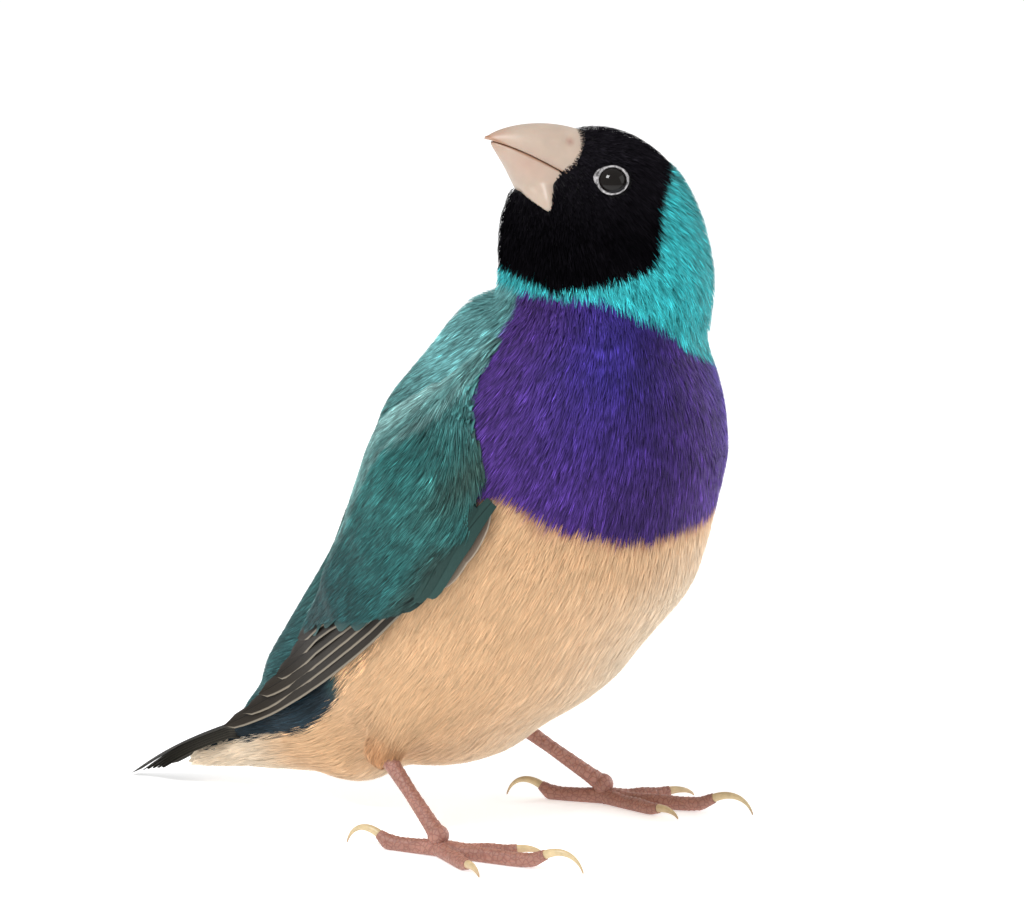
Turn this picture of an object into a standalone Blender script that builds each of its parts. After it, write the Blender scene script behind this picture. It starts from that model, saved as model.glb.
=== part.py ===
"""A life-size still model of a gouldian finch, standing and looking back over its right shoulder.

The bird faces -Y with its right side towards -X and stands on Z = 0. Sizes are millimetres in the
design and become metres when a mesh is made. The body is one smooth union of balls and cones. Each
node of flesh is a loft of rings laid on that surface, and every feather is a thin vane laid over it.
"""
import math

import bmesh
import bpy
import numpy as np
from mathutils import Vector

MM = 0.001
GAP = 0.3                    # between pieces that touch
ORIGIN = np.array([2.8, 16.8, 0.0])   # middle of the bird's own box on the floor, from between the feet

# Torso: balls along the middle plane from the neck to the tail root, as (y, z, radius).
TORSO = ((-13.0, 69.4, 12.7), (-10.2, 55.6, 18.1), (-3.5, 46.0, 22.4), (3.4, 34.3, 19.7),
         (12.1, 23.7, 15.4), (26.6, 12.7, 8.4), (39.3, 9.8, 5.2))
TORSO_NARROW = 1.05          # the torso is deeper than it is wide
TORSO_BLEND = 4.0
BACK = ((2.1, 63.0, 8.6), (17.5, 38.7, 7.7), (33.5, 16.7, 6.9))   # mantle and rump, the same way
THIGH_ROOT = np.array([-10.0, 7.0, 20.0])      # of the right leg, inside the trunk
HEAD_TURN = math.radians(137.0)       # from straight ahead to the bird's right
HEAD_PITCH = math.radians(25.0)       # the bill is raised
HEAD = np.array([1.4, -12.7, 84.1])
SKULL = (np.array([0.9, 0.0, 0.0]), np.array([10.6, 9.6, 9.3]))   # middle and radii on the head's own axes
THROAT = (np.array([3.0, 0.0, -6.5]), 8.5)       # a ball, on the same axes: forward, sideways, upward
NAPE = (np.array([1.1, -15.0, 75.8]), 11.5)
FACE_TAPER = 0.65            # how much narrower the face is 8 mm ahead of the middle of the head
HEAD_BLEND = 5.0
NECK_TOP = 76.0              # height of the level cut under the head
EYE_RADIUS = 2.4
EYE_PLACE = (2.3, 3.4)       # forward and upward from the middle of the head
EYE_DEPTH = 2.2              # middle of the eyeball under the surface
LID_OPENING = 2.05
LID_RADIUS = 0.33
BILL_TIP = np.array([17.9, 1.0])      # forward, upward
BILL_ROOT = 6.5              # forward place of the bill's hidden back face
BILL_HALF_WIDTH = 4.2
BILL_FLARE = 0.5             # how much wider it is at that face
JAW = ((9.6, -1.0, 2.2), (8.5, -1.8, 2.0), (7.8, -2.8, 1.2), (7.35, -3.5, 0.45))   # forward, upward, radius
JAW_SUNK = 0.7               # depth of the jaw's middle in the cheek, as a share of its radius

# Stance for each side, right 1 and left -1: heel, ankle, and the foot's turn outwards in degrees.
HEEL = {1: np.array([-12.8, 11.6, 10.4]), -1: np.array([13.2, 10.9, 11.6])}
ANKLE = {1: np.array([-16.6, 1.0, 2.6]), -1: np.array([19.4, -0.4, 2.6])}
FOOT_TURN = {1: -5.0, -1: 17.0}
SHANK_RADIUS = 1.05
TRUNK_RINGS = (27, 0.06, 0.985)       # their number, and the first and last as shares of the axis
TAIL_ROOT = np.array([0.0, 38.2, 9.4])
TAIL_TIP = np.array([-3.6, 62.4, 0.1])
VANE = 0.5                   # thickness of a feather
WING_CLEAR = 0.55            # underside of a wing over the body, more than the gap as its faces are flat
LIFT = 0.8                   # from one tail feather to the next that lies over it
FLOOR_STEP = 0.07            # the same between the hidden edges of a wing's feathers


def unit(vector):
    vector = np.asarray(vector, float)
    return vector / np.linalg.norm(vector, axis=-1, keepdims=True)


BILL = np.array([-math.sin(HEAD_TURN) * math.cos(HEAD_PITCH), -math.cos(HEAD_TURN) * math.cos(HEAD_PITCH),
                 math.sin(HEAD_PITCH)])
SIDE = np.array([math.cos(HEAD_TURN), -math.sin(HEAD_TURN), 0.0])   # the head's own left
CROWN = np.cross(BILL, SIDE)


def smooth_min(a, b, k):
    """Union of two distances, rounded over a width k where they are alike."""
    h = np.clip(0.5 + 0.5 * (b - a) / k, 0, 1)
    return b + (a - b) * h - k * h * (1 - h)


def cone(p, a, b, radius_a, radius_b):
    """Distance to a ball that grows from radius_a at a to radius_b at b."""
    a, b = np.asarray(a, float), np.asarray(b, float)
    along = np.clip((p - a) @ (b - a) / ((b - a) @ (b - a)), 0, 1)
    away = np.linalg.norm(p - a - along[..., None] * (b - a), axis=-1)
    return away - radius_a - along * (radius_b - radius_a)


def trunk_distance(p):
    """Signed distance in millimetres to the trunk."""
    q = p * (TORSO_NARROW, 1, 1)
    d = np.full(p.shape[:-1], 1e3)
    for chain in (TORSO, BACK):
        for (ya, za, ra), (yb, zb, rb) in zip(chain[:-1], chain[1:]):
            d = smooth_min(d, cone(q, (0, ya, za), (0, yb, zb), ra, rb), TORSO_BLEND)
    return d


def head_distance(p):
    """Signed distance to the head: skull and throat, both drawn in towards the bill, and the nape."""
    local = (p - HEAD) @ np.array([BILL, SIDE, CROWN]).T
    narrow = 1 + FACE_TAPER * np.clip(local[..., :1] / 8, 0, 1.4) ** 1.5
    local = local * np.concatenate([np.ones_like(narrow), narrow, np.ones_like(narrow)], -1)
    middle, radii = SKULL
    near = np.linalg.norm((local - middle) / radii, axis=-1)
    steep = np.linalg.norm((local - middle) / radii ** 2, axis=-1)
    d = near * (near - 1) / np.maximum(steep, 1e-9)
    d = smooth_min(d, np.linalg.norm(local - THROAT[0], axis=-1) - THROAT[1], HEAD_BLEND)
    return smooth_min(d, np.linalg.norm(p - NAPE[0], axis=-1) - NAPE[1], HEAD_BLEND + 1)


def body_distance(p):
    """Signed distance to the feathered body, less the wings and the tail."""
    return smooth_min(trunk_distance(p), head_distance(p), HEAD_BLEND)


def upper_distance(p):
    """Signed distance to the head and the top of the neck alone."""
    y, z, radius = TORSO[0]
    return smooth_min(np.linalg.norm(p - (0, y, z), axis=-1) - radius, head_distance(p), HEAD_BLEND)


def lay_distance(p):
    """Distance to the body and the tail's core together, on which the wings are laid."""
    tail = cone(p, (0, 36.0, 9.6), (0, 56.0, 5.0), 5.2, 2.8)
    return smooth_min(body_distance(p), tail, 3.0)


def slope(p, field):
    """Gradient of a distance field by central differences."""
    step = 0.02
    parts = [field(p + step * axis) - field(p - step * axis) for axis in np.eye(3)]
    return np.stack(parts, -1) / (2 * step)


def settle(p, level, field):
    """Points moved square to the field until its distance is the level."""
    for _ in range(4):
        g = slope(p, field)
        p = p - g * ((field(p) - level) / np.maximum((g * g).sum(-1), 0.2))[..., None]
    return p


def reach(centre, direction, level, field):
    """Points where the rays from the centres leave the field's level, by halving the interval."""
    low = np.zeros(direction.shape[:-1])
    high = np.full(direction.shape[:-1], 45.0)
    for _ in range(34):
        middle = 0.5 * (low + high)
        inside = field(centre + middle[..., None] * direction) < level
        low = np.where(inside, middle, low)
        high = np.where(inside, high, middle)
    return centre + low[..., None] * direction


def new_object(name, mesh, material, smooth=True):
    """An object for a finished part, in the finch's collection and with its own material."""
    mesh.materials.clear()
    mesh.materials.append(material)
    obj = bpy.data.objects.new(name, mesh)
    parts.objects.link(obj)
    if smooth:
        mesh.shade_smooth()
        mesh.set_sharp_from_angle(angle=math.radians(40))
    return obj


def mesh_of(points, faces, name="shape"):
    """A mesh from points in millimetres from between the feet."""
    mesh = bpy.data.meshes.new(name)
    mesh.from_pydata(((points - ORIGIN) * MM).tolist(), [], faces)
    mesh.update()
    return mesh


def loft(rings, name="loft"):
    """A closed surface through rings of equal count, with a flat face on each end."""
    count, sides = rings.shape[:2]
    faces = []
    for i in range(count - 1):
        for j in range(sides):
            k = (j + 1) % sides
            faces.append((i * sides + j, i * sides + k, (i + 1) * sides + k, (i + 1) * sides + j))
    faces.append(tuple(range(sides))[::-1])
    faces.append(tuple(range((count - 1) * sides, count * sides)))
    return outward(mesh_of(rings.reshape(-1, 3), faces, name))


def outward(mesh):
    """The same mesh with its faces pointing out."""
    work = bmesh.new()
    work.from_mesh(mesh)
    bmesh.ops.recalc_face_normals(work, faces=work.faces)
    work.to_mesh(mesh)
    work.free()
    return mesh


def slab(top, bottom, name="vane"):
    """A closed thin solid between two grids, cut into triangles alike on both faces."""
    rows, columns = top.shape[:2]
    base = rows * columns
    faces = []
    for i in range(rows - 1):
        for j in range(columns - 1):
            a, b = i * columns + j, i * columns + j + 1
            c, d = b + columns, a + columns
            faces += [(a, b, c), (a, c, d), (base + a, base + c, base + b), (base + a, base + d, base + c)]
    rim = [j for j in range(columns)]
    rim += [i * columns + columns - 1 for i in range(1, rows)]
    rim += [(rows - 1) * columns + j for j in range(columns - 2, -1, -1)]
    rim += [i * columns for i in range(rows - 2, 0, -1)]
    for a, b in zip(rim, rim[1:] + rim[:1]):
        faces += [(a, base + a, base + b), (a, base + b, b)]
    points = np.concatenate([top.reshape(-1, 3), bottom.reshape(-1, 3)])
    return outward(mesh_of(points, faces, name))


def tube(points, radii, sides=8, name="tube"):
    """A round bar along points, its radius given at each, as a curve with a bevel made a closed mesh."""
    curve = bpy.data.curves.new(name, "CURVE")
    curve.dimensions = "3D"
    curve.bevel_depth = MM
    curve.bevel_resolution = (sides - 4) // 2
    curve.use_fill_caps = True
    spline = curve.splines.new("POLY")
    spline.points.add(len(points) - 1)
    for point, place, radius in zip(spline.points, np.asarray(points) - ORIGIN, radii):
        point.co = (*(place * MM), 1.0)
        point.radius = radius
    holder = bpy.data.objects.new(name, curve)
    bpy.context.scene.collection.objects.link(holder)
    bpy.context.view_layer.update()
    mesh = bpy.data.meshes.new_from_object(holder.evaluated_get(bpy.context.evaluated_depsgraph_get()))
    bpy.data.objects.remove(holder)
    bpy.data.curves.remove(curve)
    work = bmesh.new()
    work.from_mesh(mesh)
    bmesh.ops.remove_doubles(work, verts=work.verts, dist=0.02 * MM)
    bmesh.ops.recalc_face_normals(work, faces=work.faces)
    work.to_mesh(mesh)
    work.free()
    return mesh


def ball(centre, radius, segments=14, rings=9, name="ball"):
    """A round ball as a mesh."""
    mesh = bpy.data.meshes.new(name)
    work = bmesh.new()
    bmesh.ops.create_uvsphere(work, u_segments=segments, v_segments=rings, radius=radius * MM)
    bmesh.ops.translate(work, verts=work.verts, vec=Vector((np.asarray(centre) - ORIGIN) * MM))
    work.to_mesh(mesh)
    work.free()
    return mesh


def helper(mesh, name):
    """A guide or cutter in the collection of shapes that are not part of the bird."""
    obj = bpy.data.objects.new(name, mesh)
    cutters.objects.link(obj)
    obj.hide_render = True
    obj.display_type = "WIRE"
    return obj


def combine(base, meshes, operation):
    """The base mesh joined with, or cut by, the closed meshes in one Boolean; its largest surface is kept."""
    group = bpy.data.collections.new("pieces")
    bpy.context.scene.collection.children.link(group)
    for mesh in meshes:
        group.objects.link(bpy.data.objects.new("piece", mesh))
    holder = helper(base, "base")
    cut = holder.modifiers.new("join", "BOOLEAN")
    cut.operand_type = "COLLECTION"
    cut.collection = group
    cut.operation = operation
    cut.solver = "MANIFOLD"
    bpy.context.view_layer.update()
    result = bpy.data.meshes.new_from_object(holder.evaluated_get(bpy.context.evaluated_depsgraph_get()))
    for obj in list(group.objects):
        bpy.data.objects.remove(obj)
    bpy.data.collections.remove(group)
    bpy.data.objects.remove(holder)
    return largest(result)


def largest(mesh):
    """The mesh with only its largest closed surface."""
    work = bmesh.new()
    work.from_mesh(mesh)
    seen, islands = set(), []
    for start in work.verts:
        if start in seen:
            continue
        island, queue = [], [start]
        seen.add(start)
        while queue:
            vert = queue.pop()
            island.append(vert)
            for edge in vert.link_edges:
                other = edge.other_vert(vert)
                if other not in seen:
                    seen.add(other)
                    queue.append(other)
        islands.append(island)
    islands.sort(key=span)
    loose = [vert for island in islands[:-1] for vert in island]
    bmesh.ops.delete(work, geom=loose, context="VERTS")
    bmesh.ops.dissolve_degenerate(work, edges=work.edges, dist=0.002 * MM)
    bmesh.ops.triangulate(work, faces=work.faces)
    work.to_mesh(mesh)
    work.free()
    return mesh


def span(island):
    """Length of the diagonal of an island's box."""
    places = np.array([vert.co[:] for vert in island])
    return float(np.linalg.norm(places.max(0) - places.min(0)))


def finish(name, colour, roughness, metallic=0.0):
    """A Principled material."""
    material = bpy.data.materials.new(name)
    material.use_nodes = True
    shader = material.node_tree.nodes["Principled BSDF"]
    shader.inputs["Base Color"].default_value = (*colour, 1.0)
    shader.inputs["Roughness"].default_value = roughness
    shader.inputs["Metallic"].default_value = metallic
    material.diffuse_color = (*colour, 1.0)
    return material


def ring(centre, normal, sides=28, field=body_distance):
    """Points where a plane through the centre leaves the body, one ray for each side."""
    across = unit(np.cross(normal, np.array([1.0, 0, 0])))
    other = np.cross(normal, across)
    angle = np.arange(sides) * 2 * math.pi / sides
    rays = np.cos(angle)[:, None] * across + np.sin(angle)[:, None] * other
    return reach(np.asarray(centre, float), rays, 0.0, field)


def spine(count, first, last):
    """Places and directions along the torso's axis between two shares of its length."""
    places = np.array([(0, y, z) for y, z, _ in TORSO])
    arc = np.concatenate([[0], np.cumsum(np.linalg.norm(np.diff(places, axis=0), axis=1))])
    fine = np.linspace(0, arc[-1], 240)
    track = np.stack([np.interp(fine, arc, places[:, k]) for k in range(3)], -1)
    kernel = np.hanning(61)
    kernel /= kernel.sum()
    padded = np.concatenate([2 * track[0] - track[30:0:-1], track, 2 * track[-1] - track[-2:-32:-1]])
    track = np.stack([np.convolve(padded[:, k], kernel, "valid") for k in range(3)], -1)
    heading = unit(np.gradient(track, axis=0))
    at = np.linspace(first, last, count) * 239
    index = np.arange(240)
    place = np.stack([np.interp(at, index, track[:, k]) for k in range(3)], -1)
    return place, unit(np.stack([np.interp(at, index, heading[:, k]) for k in range(3)], -1))


def head_point(forward, sideways, upward):
    """A point given from the middle of the head in its own directions."""
    return HEAD + forward * BILL + sideways * SIDE + upward * CROWN


# Long axis that the wings are laid by: the torso's axis and then the tail's core.
LAY_AXIS = np.array([(0, y, z) for y, z, _ in TORSO] + [(0, 52.0, 4.6), (0, 66.0, 1.2)])


def on_body(along, angle, level):
    """Points over the body's right: millimetres along the axis, degrees round it from the belly, height."""
    arc = np.concatenate([[0], np.cumsum(np.linalg.norm(np.diff(LAY_AXIS, axis=0), axis=1))])
    along, angle = np.broadcast_arrays(np.asarray(along, float), np.radians(angle))

    def place(where):
        return np.stack([np.interp(where, arc, LAY_AXIS[:, k]) for k in range(3)], -1)

    heading = unit(place(np.clip(along + 9, 0, arc[-1])) - place(np.clip(along - 9, 0, arc[-1])))
    centre = 0.5 * place(np.clip(along, 0, arc[-1])) + 0.25 * (place(np.clip(along + 5, 0, arc[-1]))
                                                             + place(np.clip(along - 5, 0, arc[-1])))
    ventral = np.cross(heading, np.array([1.0, 0, 0]))
    direction = np.cos(angle)[..., None] * ventral + np.sin(angle)[..., None] * np.array([-1.0, 0, 0])
    return reach(centre, direction, level, lay_distance)


def torso():
    """The trunk from the base of the neck to the root of the tail, with the feathered thighs fused on."""
    places, headings = spine(*TRUNK_RINGS)
    rings = np.array([ring(c, n) for c, n in zip(places, headings)])
    return loft(rings, "torso")


def neck():
    """The short neck between the trunk's upper cut and the level cut under the head."""
    places, headings = spine(*TRUNK_RINGS)
    low, tilt = places[0] - headings[0] * GAP, -headings[0]
    top = np.array([0.0, low[1] - 0.5, NECK_TOP])
    steps = np.linspace(0, 1, 5)
    rings = []
    for s in steps:
        centre = low + s * (top - low)
        normal = unit((1 - s) * tilt + s * np.array([0, 0, 1.0]))
        rings.append(ring(centre, normal))
    return loft(np.array(rings), "neck")


def head_surface():
    """The head as a globe of rays from its middle, its pole at the bill, running down into the neck."""
    rings, sides = 15, 26
    polar = np.linspace(0.16, math.pi - 0.14, rings)[:, None]
    angle = (np.arange(sides) * 2 * math.pi / sides)[None, :]
    rays = (np.cos(polar)[..., None] * BILL + (np.sin(polar) * np.cos(angle))[..., None] * CROWN
            + (np.sin(polar) * np.sin(angle))[..., None] * SIDE)
    points = reach(HEAD, rays, 0.0, upper_distance)
    down = np.minimum(rays[..., 2], -1e-6)
    limit = (NECK_TOP - 6.0 - HEAD[2]) / down
    length = np.linalg.norm(points - HEAD, axis=-1)
    return loft(HEAD + rays * np.minimum(length, limit)[..., None], "head")


def floor_block(height, size=60.0):
    """A large block whose top lies at the height, to cut a shape level."""
    mesh = bpy.data.meshes.new("block")
    work = bmesh.new()
    bmesh.ops.create_cube(work, size=size * MM)
    move = (np.array([0, 0, height - 0.5 * size]) - ORIGIN) * MM
    bmesh.ops.translate(work, verts=work.verts, vec=Vector(move))
    work.to_mesh(mesh)
    work.free()
    return mesh


def eye_frame(sign):
    """Middle of an eyeball and the way it looks; sign is 1 for the head's left."""
    forward, upward = EYE_PLACE
    inside = head_point(forward, sign * 2.0, upward)
    surface = reach(inside, (sign * SIDE)[None], 0.0, head_distance)
    look = unit(slope(surface, head_distance))[0]
    return surface[0] - EYE_DEPTH * look, look


def lid(sign):
    """The raised ring of skin round an eye."""
    centre, look = eye_frame(sign)
    distance = EYE_RADIUS + GAP + LID_RADIUS
    height = math.sqrt(distance ** 2 - LID_OPENING ** 2)
    bpy.ops.mesh.primitive_torus_add(major_segments=20, minor_segments=6, major_radius=LID_OPENING * MM,
                                     minor_radius=LID_RADIUS * MM)
    shape = bpy.context.object
    shape.rotation_mode = "QUATERNION"
    shape.rotation_quaternion = Vector((0, 0, 1)).rotation_difference(Vector(look))
    shape.location = Vector((centre + look * height - ORIGIN) * MM)
    bpy.context.view_layer.update()
    mesh = shape.data.copy()
    mesh.transform(shape.matrix_world)
    bpy.data.objects.remove(shape)
    return mesh


def bill_outline(t):
    """Heights of the bill's ridge, mouth and keel and its half width, at a share t of its length."""
    ridge = BILL_TIP[1] + 6.1 * (1 - t ** 1.75) ** 0.72
    mouth = 1.35 + 0.35 * math.sin(math.pi * t) - 0.35 * t ** 6
    keel = float(np.interp(t, (0, 0.43, 0.68, 0.94), (-4.6, -3.4, -1.1, 0.9)))
    half = BILL_HALF_WIDTH * (1 - t ** 1.5) ** 0.8 + 0.28 + BILL_FLARE * max(1 - t / 0.35, 0) ** 2
    return ridge, mouth, keel, half


def bill_arch(t, upper, grow=0.0, steps=7):
    """Half a section of the bill from its left to its right: the arch over the mouth or the keel under it."""
    ridge, mouth, keel, half = bill_outline(t)
    angle = np.linspace(0, math.pi, steps)
    if upper:
        return (half + grow) * np.cos(angle), max(ridge - mouth, 0.45) + grow, np.sin(angle) ** 0.85, mouth
    depth = max(mouth - keel, 0.45)
    return -(0.98 * half + grow) * np.cos(angle), -depth - grow, np.sin(angle) ** 0.65, mouth


def bill_half(upper, stations=9):
    """One half of the bill, its flat mouth side half a gap from the line of the mouth."""
    rings = []
    for t in np.linspace(0, 1 if upper else 0.92, stations):
        across, rise, share, mouth = bill_arch(t, upper)
        edge = math.copysign(0.5 * GAP, rise)
        height = mouth + edge + (rise - edge) * share
        outline = list(zip(across, height)) + [(0.0, mouth + edge)]
        forward = BILL_ROOT + t * (BILL_TIP[0] - BILL_ROOT)
        rings.append([head_point(forward, a, b) for a, b in outline])
    return loft(np.array(rings), "bill")


def bill_seat(stations=7):
    """The whole bill's root, larger by the gap, that is cut from the head to seat the bill."""
    rings = []
    for t in np.linspace(0, 0.8, stations):
        outline = []
        for upper in (True, False):
            across, rise, share, mouth = bill_arch(t, upper, GAP)
            outline += list(zip(across, mouth + rise * share))[1:-1]
            outline.append((across[-1], mouth))
        forward = BILL_ROOT - GAP + t * (BILL_TIP[0] - BILL_ROOT)
        rings.append([head_point(forward, a, b) for a, b in outline])
    return loft(np.array(rings), "seat")


def jaw(sign, grow=0.0):
    """One branch of the lower jaw: it leaves the bill's side and tapers back and down along the cheek."""
    places = []
    for forward, upward, radius in JAW:
        cheek = reach(head_point(forward, 0.0, upward), (sign * SIDE)[None], 0.0, head_distance)
        places.append((cheek - JAW_SUNK * radius * unit(slope(cheek, head_distance)))[0])
    return tube(places, [radius + grow for _, _, radius in JAW], 10, "jaw")


def nostril(sign):
    """A small ball that cuts a nostril's pit."""
    return ball(head_point(9.1, sign * 2.95, 5.1), 0.55, 8, 6, "nostril")


def stations(count):
    """Shares of a feather's length, closer together towards its rounded tip."""
    return 1 - (1 - np.linspace(0, 1, count)) ** 1.4


def vane_path(root, tip, count, offset=0.0, share=1.0):
    """Places along a feather from root to tip over the body, moved square to itself by the offset."""
    s = (share * stations(count))[:, None]
    along, angle = ((1 - s) * np.array(root) + s * np.array(tip)).T
    places = on_body(along, angle, 1.0)
    side = directions(places)[2]
    for _ in range(4):
        places = settle(places + side * offset / 4, 1.0, lay_distance)
    return places


def directions(places):
    """Forward along a line over the body, square out of the body, and sideways towards the back."""
    forward = unit(np.gradient(places, axis=0))
    normal = unit(slope(places, lay_distance))
    return forward, normal, unit(np.cross(forward, normal))


def feather(places, half_width, heights, roll, floor, blunt=1.0):
    """One vane along its places: narrow at the root, rounded at the tip, tilted, no lower than its floor."""
    side = directions(places)[2]
    s = stations(len(places))
    width = half_width * np.interp(s, (0, 0.45, 1), (0.7, 1, 1))
    width = np.maximum(width * (1 - s ** (3 + 5 * blunt)) ** 0.5, 0.15)[:, None]
    level = np.interp(s, np.linspace(0, 1, len(heights)), heights)[:, None]
    thick = VANE * (1 - 0.4 * s ** 4)[:, None]
    across = np.array([-1.0, 0.0, 1.0])
    grid = places[:, None, :] + side[:, None, :] * (width * across)[..., None]
    middle = level + roll * width * across + 0.12 * (1 - across ** 2)
    middle = np.maximum(middle, WING_CLEAR + 0.5 * thick + floor)
    top = settle(grid, middle + 0.5 * thick, lay_distance)
    bottom = settle(grid, middle - 0.5 * thick, lay_distance)
    return top, bottom


def wing_bed():
    """The bed of shoulder feathers and coverts that the wing's quills grow from."""
    rows, columns = 13, 8
    s, t = np.meshgrid(np.linspace(0, 1, rows), np.linspace(0, 1, columns), indexing="ij")
    low = np.interp(s, (0, 0.1, 0.35, 0.6, 0.85, 1), (110, 100, 78, 83, 91, 103))
    high = np.interp(s, (0, 0.1, 0.35, 0.6, 0.85, 1), (124, 136, 144, 150, 148, 136))
    angle = low + t * (high - low)
    crown = np.clip(np.sin(math.pi * t), 0, 1) ** 0.45
    fall = np.interp(s, (0, 0.15, 0.6, 1), (0.2, 0.9, 0.85, 0.2))
    top = on_body(3 + 45 * s, angle, WING_CLEAR + VANE + 1.6 * crown * fall)
    bottom = on_body(3 + 45 * s, angle, np.full(s.shape, WING_CLEAR))
    return slab(top, bottom, "bed")


# Tiers of vanes over the body, each as (along, angle) at its root and at its tip.
COVERTS = (((22, 86), (35, 92)), ((25, 95), (38, 102)), ((28, 104), (41, 112)),
           ((30.5, 113), (43.5, 122)), ((32.5, 122), (45.5, 132)), ((33.5, 131), (46.5, 142)))
SECONDARIES = (((25, 86), (46, 97)), ((29.5, 94), (50.5, 106)), ((33, 102), (54, 115)),
               ((36, 110), (57, 124)), ((38, 118), (58.5, 132)), ((39, 126), (59.5, 139)))
PRIMARIES = ((0.0, 1.0), (1.9, 0.9), (3.8, 0.79), (5.7, 0.68))    # millimetres off the first, share of it
WING_KEEL = ((34, 90), (91.5, 119))       # the longest primary


def wing_vanes():
    """Tiers of vanes on the right wing, each as places, half width, heights, roll, floor and bluntness."""
    vanes = []
    for tier, half, heights, roll in ((COVERTS, 1.7, (1.3, 2.4, 2.8), -0.22),
                                      (SECONDARIES, 2.4, (1.15, 1.7, 1.85), -0.32)):
        for k, (root, tip) in enumerate(tier):
            vanes.append((vane_path(root, tip, 6), half, heights, roll, FLOOR_STEP * k))
    for k, (offset, share) in enumerate(PRIMARIES):
        places = vane_path(*WING_KEEL, 12, offset, share)
        vanes.append((places, 2.1, (1.1, 1.3, 1.45, 1.3), -0.32, FLOOR_STEP * k, 2.0))
    return vanes


def wing(mirror):
    """A folded wing: the bed with its tiers of vanes joined by one union."""
    mesh = combine(wing_bed(), [slab(*feather(*vane)) for vane in wing_vanes()], "UNION")
    return mirrored(mesh) if mirror else mesh


def mirrored(mesh):
    """The mesh turned over to the other side of the middle plane."""
    work = bmesh.new()
    work.from_mesh(mesh)
    bmesh.ops.scale(work, vec=Vector((-1, 1, 1)), verts=work.verts)
    bmesh.ops.translate(work, vec=Vector((-2 * ORIGIN[0] * MM, 0, 0)), verts=work.verts)
    bmesh.ops.recalc_face_normals(work, faces=work.faces)
    work.to_mesh(mesh)
    work.free()
    return mesh


TAIL_PAIRS = ((1.0, 1.5, 0.0), (0.86, 2.0, 2.5), (0.78, 2.4, 5.0), (0.7, 2.8, 7.5))


def tail_vane(side, share, offset, fan, level):
    """One tail feather: its share of the tail's length, offset from the middle, fan in degrees and level."""
    s = np.linspace(0.13, 1, 7)
    axis = TAIL_TIP - TAIL_ROOT
    forward = unit(axis * (1, 1, 0))
    across = np.array([forward[1], -forward[0], 0.0]) * side
    drop = TAIL_ROOT[2] + (TAIL_TIP[2] - TAIL_ROOT[2]) * (s * share) ** 1.15
    length = np.linalg.norm(axis[:2])
    middle = TAIL_ROOT + forward * (s * share * length)[:, None]
    middle[:, 2] = drop
    centre = middle + across * (offset * (0.55 + 0.45 * s) * (1 - 0.75 * s ** 3 * (share > 0.95))
                                + math.tan(math.radians(fan)) * s * share * 6)[:, None]
    width = 1.35 * (0.8 + 0.2 * np.sin(np.minimum(2.5 * s, math.pi / 2))) * np.clip(1 - s ** 5, 0, 1) ** 0.5
    width = np.maximum(width, 0.1)
    grid = centre[:, None, :] + across * (width[:, None] * np.array([-1.0, 0, 1.0]))[..., None]
    thick = VANE * (1 - 0.3 * s ** 4)[:, None] * 0.5
    height = level * (1 - s)[:, None]
    top, bottom = grid.copy(), grid.copy()
    top[..., 2] += height + thick
    bottom[..., 2] += height - thick
    bottom[..., 2] = np.maximum(bottom[..., 2], 0.0)
    top[..., 2] = np.maximum(top[..., 2], bottom[..., 2] + 0.3)
    return slab(top, bottom, "rectrix")


def tail():
    """The tail: a tapering core of coverts with four pairs of quills fused to it."""
    axis = TAIL_TIP - TAIL_ROOT
    places, headings = spine(*TRUNK_RINGS)
    start = places[-1] + headings[-1] * GAP
    back = unit(axis)
    forward = unit(axis * (1, 1, 0))
    across = np.array([forward[1], -forward[0], 0.0])
    angle = np.arange(14) * 2 * math.pi / 14
    rings = [ring(start, headings[-1], 14)]
    for run in (1.6, 3.6, 5.8):
        rings.append(ring(start + back * run, headings[-1], 14, lay_distance))
    for s in (0.4, 0.55, 0.68):
        centre = TAIL_ROOT + axis * (s, s, s ** 1.25)
        wide, high = 4.4 * (1 - s) ** 0.8 + 0.2, 4.0 * (1 - s) ** 1.1 + 0.1
        turn = np.cos(angle)[:, None] * -np.array([0, 0, 1.0]) * high + np.sin(angle)[:, None] * across * wide
        rings.append(centre + turn)
    rings = align(np.array(rings))
    core = loft(rings, "core")
    vanes = []
    for k, (share, offset, fan) in enumerate(TAIL_PAIRS):
        for side in (-1, 1):
            vanes.append(tail_vane(side, share, offset, fan, 1.6 - LIFT * k))
    return combine(core, vanes, "UNION")


def align(rings):
    """Rings turned about themselves so that each starts by the one before and runs the same way."""
    for k in range(1, len(rings)):
        best = None
        for flip in (1, -1):
            candidate = rings[k][::flip]
            for shift in range(len(candidate)):
                turned = np.roll(candidate, shift, axis=0)
                cost = np.linalg.norm(turned - rings[k - 1], axis=1).sum()
                if best is None or cost < best[0]:
                    best = (cost, turned)
        rings[k] = best[1]
    return rings


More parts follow.
